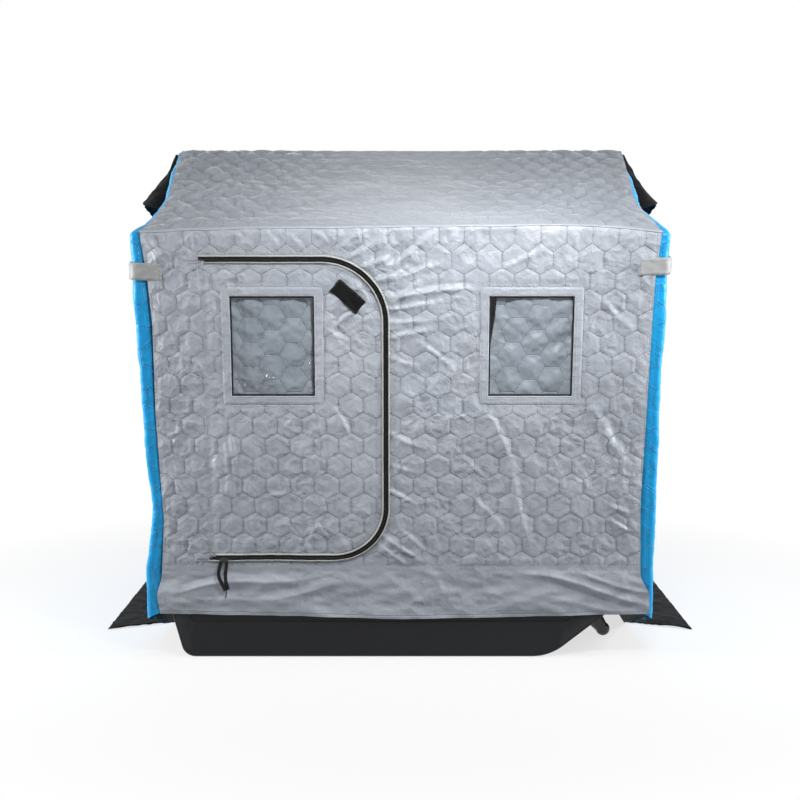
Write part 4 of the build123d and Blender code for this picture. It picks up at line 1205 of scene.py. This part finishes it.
def stitchRow(line, offset, where, name, material, body, pitch=None, lift=0.0045, closed=False):
    points = finerLine(line, pitch or threads["pitch"], closed)
    normals = lineNormals(points, closed)
    row = bmesh.new()
    for n in range(len(points) - 1):
        a = points[n] + normals[n] * offset
        b = points[n + 1] + normals[n + 1] * offset
        d = (b - a) / np.hypot(*(b - a))
        thread = bmesh.ops.create_icosphere(row, subdivisions=1, radius=1)["verts"]
        c = (a + b) / 2
        for vert in thread:
            x, y, z = vert.co
            spot = c + d * x * threads["length"] / 2 + np.array([-d[1], d[0]]) * y * threads["radius"]
            vert.co = (spot[0], spot[1], z * threads["radius"])
    data = toMesh(row, name)
    flat = vertexArray(data)
    setPlaces(data, where(flat[:, 0], flat[:, 1], lift + flat[:, 2]))
    return pieceFrom(data, name, material, body, ())


# twisted polyester thread: short grey dashes, a little darker than the cloth
darkThread = fabric("grey polyester thread", "#6F747B", "#7A7F86", rough=0.5, crumple=0.0, fine=0.0,
                    weave=0.3)
stitchRow(wallPath, zipRow, overNear, "zip_stitches_wall", darkThread, "hut")
stitchRow(doorPath, -zipRow, overNear, "zip_stitches_door", darkThread, "door")

# grey tape ends where the zip stops, each with its bar tack
ends = []
for level in (doorEdge["top"], doorEdge["bottom"]):
    x = doorEdge["left"] - zipTrim["lead"]
    tapeEnd = [(w, 0.006 + 0.001 * (1 - abs(w) / 0.014)) for w in spaced(-0.0145, 0.0145, 7)]
    tack = [(w, 0.0085) for w in spaced(-0.005, 0.005, 5)]
    ends.append(ribbon([(x - 0.062, level), (x + 0.004, level)], tapeEnd, overNear, "end", 0.006,
                       rows=(-0.012, 0.012)))
    ends.append(ribbon([(x - 0.050, level), (x + 0.002, level)], tack, overNear, "tack", 0.004,
                       rows=(-0.004, 0.004)))
pieceFrom(joined("zip_end_tapes", ends), "zip_end_tapes", plainGrey, "hut", ())
print("zip made")

# hook-and-loop patch on the door
patch = {"length": 0.137, "width": 0.065, "turn": -41.0, "at": (-0.200, 1.464), "lift": 0.0105}
turn = math.radians(patch["turn"])
patchSheet = gridSheet((-patch["length"] / 2, -patch["width"] / 2),
                       (patch["length"] / 2, patch["width"] / 2), 0.0045)
patchData = toMesh(patchSheet, "door_patch_pile")
flat = vertexArray(patchData)
a, b = flat[:, 0], flat[:, 1]
rim = np.minimum(patch["length"] / 2 - np.abs(a), patch["width"] / 2 - np.abs(b))
u = patch["at"][0] + a * math.cos(turn) - b * math.sin(turn)
v = patch["at"][1] + a * math.sin(turn) + b * math.cos(turn)
lift = patch["lift"] + 0.0018 * smooth(rim, 0.0045, 0.012) - 0.006 * (rim < 0.002)
lift += 0.0007 * ripple(u, v, 0.05, 401)
setPlaces(patchData, overNear(u, v, lift))
pieceFrom(patchData, "door_patch_pile", pile, "door", ["door_patch"])
patchBox = [(patch["at"][0] + x * math.cos(turn) - y * math.sin(turn),
             patch["at"][1] + x * math.sin(turn) + y * math.cos(turn))
            for x, y in rectangle(-patch["length"] / 2 + 0.004, -patch["width"] / 2 + 0.004,
                                  patch["length"] / 2 - 0.004, patch["width"] / 2 - 0.004)]
stitchRow(patchBox, 0.0, overNear, "patch_stitches", darkThread, "door", 0.006, 0.0112, True)

# reflective patches round the near corners
reflector = {"wide": 0.118, "wrap": 0.060, "high": 0.067, "level": 1.570, "tilt": 0.012, "lift": 0.0105}
for side in (-1, 1):
    sheet = gridSheet((-reflector["wrap"], -reflector["high"] / 2),
                      (reflector["wide"], reflector["high"] / 2), 0.006)
    data = toMesh(sheet, "reflector")
    flat = vertexArray(data)
    level = reflector["level"] + 0.01 * side + flat[:, 1] - reflector["tilt"] * flat[:, 0] / reflector["wide"]
    y = wallFoot[1] + level * wallUp[1]
    rim = np.minimum(np.minimum(flat[:, 0] + reflector["wrap"], reflector["wide"] - flat[:, 0]),
                     reflector["high"] / 2 - np.abs(flat[:, 1]))
    lift = reflector["lift"] + 0.001 * ripple(flat[:, 0], level, 0.06, 410 + side) - 0.005 * (rim < 0.001)
    setPlaces(data, onSide(y - flat[:, 0], level * wallUp[2], lift, side))
    setAttribute(data, "seam", np.stack([np.abs(rim - 0.004), flat[:, 0] + flat[:, 1], 0 * rim], -1))
    if side > 0:
        bmeshFlip(data)
    pieceFrom(data, "corner_reflector_" + ("left" if side < 0 else "right"), tapeCloth, "hut",
              ["corner_reflectors"] if side < 0 else ())
print("patches made")

# eave seam: the roof's edge folded down over the wall
eaveLine = [(-0.992, eaveV), (0.998, eaveV)]


def eaveWave(u):
    return 0.002 * np.sin(u * 3.1 + 0.4) + 0.0012 * np.sin(u * 11 + 1) + 0.0008 * np.sin(u * 29)


def placeEave(u, v, h):
    y, z = wallFoot[1] + (v + eaveWave(u)) * wallUp[1], (v + eaveWave(u)) * wallUp[2]
    return onProfile(u, y, z, h)


eaveSection = [(-0.012, 0.0015), (-0.009, 0.0042), (-0.004, 0.0050), (0.000, 0.0056), (0.0030, 0.0060),
               (0.0046, 0.0052), (0.0050, 0.0030), (0.0046, 0.0008)]
eaveData = ribbon(eaveLine, eaveSection, placeEave, "eave_fold", 0.008, rows=(-0.006,), ripples=0.0005)
pieceFrom(eaveData, "eave_fold", plainGrey, "hut", ())


# slider and its two bent pull tabs
slider = {"at": (-0.7090, 0.4175), "long": 0.034, "wide": 0.018, "high": 0.008}
body = bmesh.new()
bmesh.ops.create_cube(body, size=1)
bmesh.ops.bevel(body, geom=body.edges[:], offset=0.22, segments=4, profile=0.5, affect="EDGES", material=-1)
for vert in body.verts:
    x, y, z = vert.co
    taper = 1 - 0.25 * smooth(np.array(x), -0.5, 0.5)
    vert.co = (x * slider["long"], y * slider["wide"] * float(taper), z * slider["high"])
for spot in ((-0.006, 0.0), (0.008, 0.0)):
    ring = bmesh.ops.create_uvsphere(body, u_segments=14, v_segments=8, radius=0.0042)["verts"]
    bmesh.ops.translate(body, verts=ring, vec=(spot[0], spot[1], slider["high"] * 0.45))
sliderData = toMesh(body, "slider_body")
flat = vertexArray(sliderData)
places = overNear(slider["at"][0] + flat[:, 0], slider["at"][1] + flat[:, 1] - 0.004, 0.0125 + flat[:, 2])
setPlaces(sliderData, places)
pieceFrom(sliderData, "slider_body", blackPlastic, "door", ["zip_slider"])

tabs = []
for line, wide, lift in (
        ([(-0.722, 0.408), (-0.7245, 0.392), (-0.733, 0.362), (-0.729, 0.340), (-0.715, 0.315),
          (-0.699, 0.286)], 0.0075, 0.017),
        ([(-0.700, 0.410), (-0.698, 0.392), (-0.7035, 0.360), (-0.7025, 0.330), (-0.694, 0.300),
          (-0.690, 0.290)], 0.0070, 0.013)):
    bend = curve([(p[1], p[0]) for p in sorted(line, key=lambda p: p[1])], 0.012)
    levels = np.linspace(line[0][1], line[-1][1], 34)
    section = [(-wide, -0.0016), (-wide, 0.0008), (-wide * 0.5, 0.0016), (wide * 0.5, 0.0016), (wide, 0.0008),
               (wide, -0.0016), (-wide, -0.0016)]
    tabs.append(ribbon([(float(bend(level)), float(level)) for level in levels], section,
                       lambda u, v, h, lift=lift: overNear(u, v, h + lift + 0.004 * np.sin((v - 0.28) * 26)),
                       "tab", 0.006, rows=(wide * 0.7, -wide * 0.7)))
tabs.append(ribbon([(-0.6965, 0.288), (-0.6972, 0.275), (-0.6985, 0.262), (-0.6990, 0.254)],
                   [(-0.0018, 0.0), (-0.0012, 0.0018), (0.0012, 0.0018), (0.0018, 0.0), (-0.0018, 0.0)],
                   lambda u, v, h: overNear(u, v, h + 0.012), "tail", 0.004))
pieceFrom(joined("pull_tabs", tabs), "pull_tabs", zipTape, "door", ["zip_pull"])
print("slider made")

# vent hoods: flared cloth awnings, stiffened at the mouth
hood = {"top": 2.080, "half": 0.300, "topHalf": 0.045, "root": 1.0125, "hem": 0.034, "cloth": 0.002,
        "cells": 56}
hoodMouth = curve([(0, 1.817), (30, 1.838), (60, 1.857), (76, 1.850), (90, 1.838), (115, 1.800), (140, 1.792),
                   (180, 1.795)], 6)
hoodReach = curve([(0, 0.016), (0.16, 0.030), (0.38, 0.049), (0.61, 0.084), (0.83, 0.128),
                   (0.95, 0.151), (1, 0.157)], 0.03)


# gives thin cloth its thickness
def thicken(data, depth):
    sheet = bmesh.new()
    sheet.from_mesh(data)
    bmesh.ops.recalc_face_normals(sheet, faces=sheet.faces)
    bmesh.ops.solidify(sheet, geom=sheet.faces[:], thickness=depth)
    sheet.to_mesh(data)
    sheet.free()


for side in (-1, 1):
    word = "left" if side < 0 else "right"
    data = toMesh(gridSheet((0, 0), (1, 1), 1 / hood["cells"]), "vent_hood_cloth_" + word)
    flat = vertexArray(data)
    around, down = flat[:, 0] * 180, flat[:, 1]
    angle = np.radians(around)
    z = hood["top"] + (hoodMouth(around) - hood["top"]) * down
    y = -(hood["topHalf"] + (hood["half"] - hood["topHalf"]) * down ** 0.9) * np.cos(angle)
    fold = 0.006 * np.sin(around / 14 + down * 7 + side) * np.sin(np.pi * down)
    fold += 0.003 * ripple(y, z, 0.07, 500 + side)
    roll = 0.004 * smooth(down, 0.9, 1.0)
    x = hood["root"] + (hoodReach(down) + (fold + roll) * smooth(down, 0.05, 0.3)) * np.sin(angle) ** 0.75
    setPlaces(data, np.stack([side * x, y, z], -1))
    fromRim = (1 - down) * (hood["top"] - hoodMouth(around)) * 1.15
    setAttribute(data, "seam", np.stack([np.minimum(np.abs(fromRim - hood["hem"]), np.abs(fromRim - 0.004)),
                                         around * 0.005, 0 * y], -1))
    thicken(data, hood["cloth"])
    cover = pieceFrom(data, "vent_hood_cloth_" + word, blackCloth, "hut", ["vent_hood_" + word])
print("hoods made")

# snow skirts lying on the ice
skirt = {"cloth": 0.0016, "cells": 60, "wave": 0.011}


def skirtSheet(name, corners, nodes, seed):
    corners = np.array(corners, float)
    data = toMesh(gridSheet((0, 0), (1, 1), 1 / skirt["cells"]), name)
    flat = vertexArray(data)
    a, b = flat[:, 0:1], flat[:, 1:2]
    spot = (corners[0] * (1 - a) + corners[1] * a) * (1 - b) + (corners[3] * (1 - a) + corners[2] * a) * b
    x, y = spot.T
    free = np.sin(np.pi * np.clip(a[:, 0], 0, 1)) * 0.8 + 0.2 * a[:, 0]
    lift = skirt["wave"] * free * (0.5 + 0.5 * ripple(x, y, 0.22, seed))
    lift += 0.002 * ripple(x, y, 0.06, seed + 1)
    z = np.maximum(0.0004, lift)
    setPlaces(data, np.stack([x, y, z + skirt["cloth"]], -1))
    size = np.linalg.norm(corners[1] - corners[0]), np.linalg.norm(corners[3] - corners[0])
    gap = np.minimum(1 - a[:, 0], np.minimum(b[:, 0], 1 - b[:, 0]) * size[1] / size[0]) * size[0]
    setAttribute(data, "seam", np.stack([np.abs(gap - 0.014), x + y, 0 * x], -1))
    thicken(data, skirt["cloth"])
    cover = pieceFrom(data, name, blackCloth, "hut", nodes)


low, high = nodeBox("skirt_right")
for side in (-1, 1):
    word = "left" if side < 0 else "right"
    inner, outer = side * (halfWidth - 0.004), side * high[0]
    corners = [(inner, sideFootY), (outer, low[1]), (outer, high[1]), (inner, high[1])]
    skirtSheet("snow_skirt_" + word, corners, ["skirt_" + word], 520 + side)
low, high = nodeBox("skirt_far")
inner = farFootY - 0.004
corners = [(high[0], inner), (high[0], high[1]), (low[0], high[1]), (low[0], inner)]
skirtSheet("snow_skirt_far", corners, ["skirt_far"], 530)
print("skirts laid")

# black lining inside, and the raw edges round the door
lining = {"depth": 0.0075, "divisions": 2}


def liningFrom(sheet, where, name, flip=True):
    data = toMesh(sheet, name)
    flat = vertexArray(data)
    setPlaces(data, where(flat[:, 0], flat[:, 1]))
    height, seam = puffs(flat[:, 0], flat[:, 1], quilting)
    setAttribute(data, "seam", seam)
    if flip:
        bmeshFlip(data)
    return data


sheet = hexSheet((-greyHalf, hemV + 0.004), (greyHalf, eaveV), quilting, lining["divisions"])
cutHole(sheet, doorLine(0.002), doorLine(-0.002))
for box in openings.values():
    cutHole(sheet, box)
data = liningFrom(sheet, lambda u, v: overNear(u, v, -lining["depth"]), "near_lining")
for n, word, body, cover in ((0, "near_wall", "hut", "near_wall_quilt"),
                             (1, "door", "door", "door_flap_quilt")):
    part = partOf(data, n, word + "_lining")
    piece = pieceFrom(part, word + "_lining", liningCloth, body, ())
    stretched(piece)
sheet = hexSheet((-greyHalf, 0.004), (greyHalf, farTopV), quilting, lining["divisions"])
for box in farOpenings:
    cutHole(sheet, box)
data = liningFrom(sheet, lambda u, v: overFar(u, v, -lining["depth"]), "far_wall_lining")
stretched(pieceFrom(data, "far_wall_lining", liningCloth, "hut", ()))
sheet = hexSheet((-greyHalf, 0.004), (greyHalf, 2 * roofRun - 0.004), quilting, lining["divisions"])
data = liningFrom(sheet, lambda u, v: placeRoof(u, v, -lining["depth"] - 0.0015), "roof_lining")
stretched(pieceFrom(data, "roof_lining", liningCloth, "hut", ()))
for side in (-1, 1):
    sheet = hexSheet((-eaveY - turnOver, 0), (eaveY + turnOver, ridgeZ + turnOver), sideQuilt,
                     lining["divisions"])
    cutLines(sheet, sideOutline(0.03), clear=True)
    word = "right" if side > 0 else "left"
    data = liningFrom(sheet, lambda p, z, side=side: onSide(p, z, -lining["depth"] - 0.002, side),
                      "side_lining_" + word, side > 0)
    piece = pieceFrom(data, "side_lining_" + word, liningCloth, "hut", ())
    stretched(piece)
for body, sign in (("hut", 1), ("door", -1)):
    edge = [(sign * 0.0019, 0.005), (sign * 0.0019, -0.001), (sign * 0.0021, -lining["depth"])]
    data = ribbon(doorPath, edge, overNear, "door_edge", 0.01)
    if sign > 0:
        bmeshFlip(data)
    word = "wall" if sign > 0 else "flap"
    pieceFrom(data, "door_edge_" + word, zipTape, body, ())
print("lined")

# materials for the pieces kept from the frame
for name, material in (("sled_tub", sledPlastic), ("tow_knobs", blackPlastic), ("near_poles", tubeMetal),
                       ("ridge_poles", tubeMetal), ("far_poles", tubeMetal), ("base_poles", tubeMetal),
                       ("eave_rails", tubeMetal), ("ridge_rail", tubeMetal), ("base_rail", tubeMetal),
                       ("pivot_brackets", steelPlate), ("fold_seam", plainGrey)):
    piece = frame["nodes"][name]
    piece.data.materials.clear()
    piece.data.materials.append(material)


# camera, light and floor
camera = bpy.data.cameras.new("camera")
camera.lens, camera.sensor_width = 58.5, 36.0
cameraObject = bpy.data.objects.new("camera", camera)
cameraObject.location = (0.0, -6.06, 1.576)
cameraObject.rotation_euler = (math.radians(90 - 5.9), 0, 0)
bpy.context.scene.collection.objects.link(cameraObject)
bpy.context.scene.camera = cameraObject


def areaLight(name, place, target, size, power):
    light = bpy.data.lights.new(name, "AREA")
    light.shape, light.size, light.size_y, light.energy = "RECTANGLE", size[0], size[1], power
    lamp = bpy.data.objects.new(name, light)
    lamp.location = place
    lamp.rotation_euler = (Vector(target) - Vector(place)).to_track_quat("-Z", "Y").to_euler()
    bpy.context.scene.collection.objects.link(lamp)
    return lamp


key = areaLight("key", (0.62, -2.75, 2.98), (0.22, -1.0, 1.74), (0.7, 0.5), 17.5)
key.data.spread = math.radians(90)
areaLight("back", (0, 4.5, 3.6), (0, 0, 1.2), (4.6, 1.5), 100)
for side, power in ((-1, 84), (1, 80)):
    areaLight("side", (side * 3.4, -1.45, 1.6), (side * 0.95, -0.8, 1.1), (0.9, 0.9), power)


# one for the rays that show a surface straight on: seen, mirrored or passed through
def straightRays(tree):
    seen = ("Is Camera Ray", "Is Glossy Ray", "Is Transmission Ray")
    parts = [addNode(tree, "LightPath", out=name) for name in seen]
    either = addNode(tree, "Math", {0: parts[0], 1: parts[1]}, operation="MAXIMUM")
    return addNode(tree, "Math", {0: either, 1: parts[2]}, operation="MAXIMUM")


world = bpy.data.worlds.new("studio")
bpy.context.scene.world = world
world.use_nodes = True
tree = world.node_tree
tree.nodes.clear()
lit = addNode(tree, "Background", {"Color": (0.90, 0.95, 1.0, 1), "Strength": 0.12})
white = addNode(tree, "Background", {"Color": (1, 1, 1, 1), "Strength": 1.0})
addNode(tree, "OutputWorld", {0: addNode(tree, "MixShader", {0: straightRays(tree), 1: lit, 2: white})})

# white where it is seen, with the contact shadow kept near the hut; a mid grey for the light it sends back
floorMaterial, tree = newMaterial("pale studio floor")
where = addNode(tree, "TexCoord", out="Object")
away = addNode(tree, "VectorMath", {0: where}, out="Value", operation="LENGTH")
share = addNode(tree, "MapRange", {0: away, 1: 1.2, 2: 2.6, 3: 0.70, 4: 1.0})
paint = addNode(tree, "BsdfDiffuse", {"Color": (0.95, 0.95, 0.95, 1)})
glow = addNode(tree, "Emission", {"Color": (1, 1, 1, 1), "Strength": 1.0})
finish(tree, {0: straightRays(tree), 1: addNode(tree, "BsdfDiffuse", {"Color": (0.30, 0.30, 0.31, 1)}),
              2: addNode(tree, "MixShader", {0: share, 1: paint, 2: glow})}, "MixShader")
floorSheet = bmesh.new()
bmesh.ops.create_grid(floorSheet, x_segments=1, y_segments=1, size=30)
bmesh.ops.translate(floorSheet, verts=floorSheet.verts, vec=(0, 0, -0.001))
floorData = toMesh(floorSheet, "studio_floor")
floorData.materials.append(floorMaterial)
floor = bpy.data.objects.new("studio_floor", floorData)
bpy.context.scene.collection.objects.link(floor)
bpy.context.scene.view_settings.view_transform = "Standard"
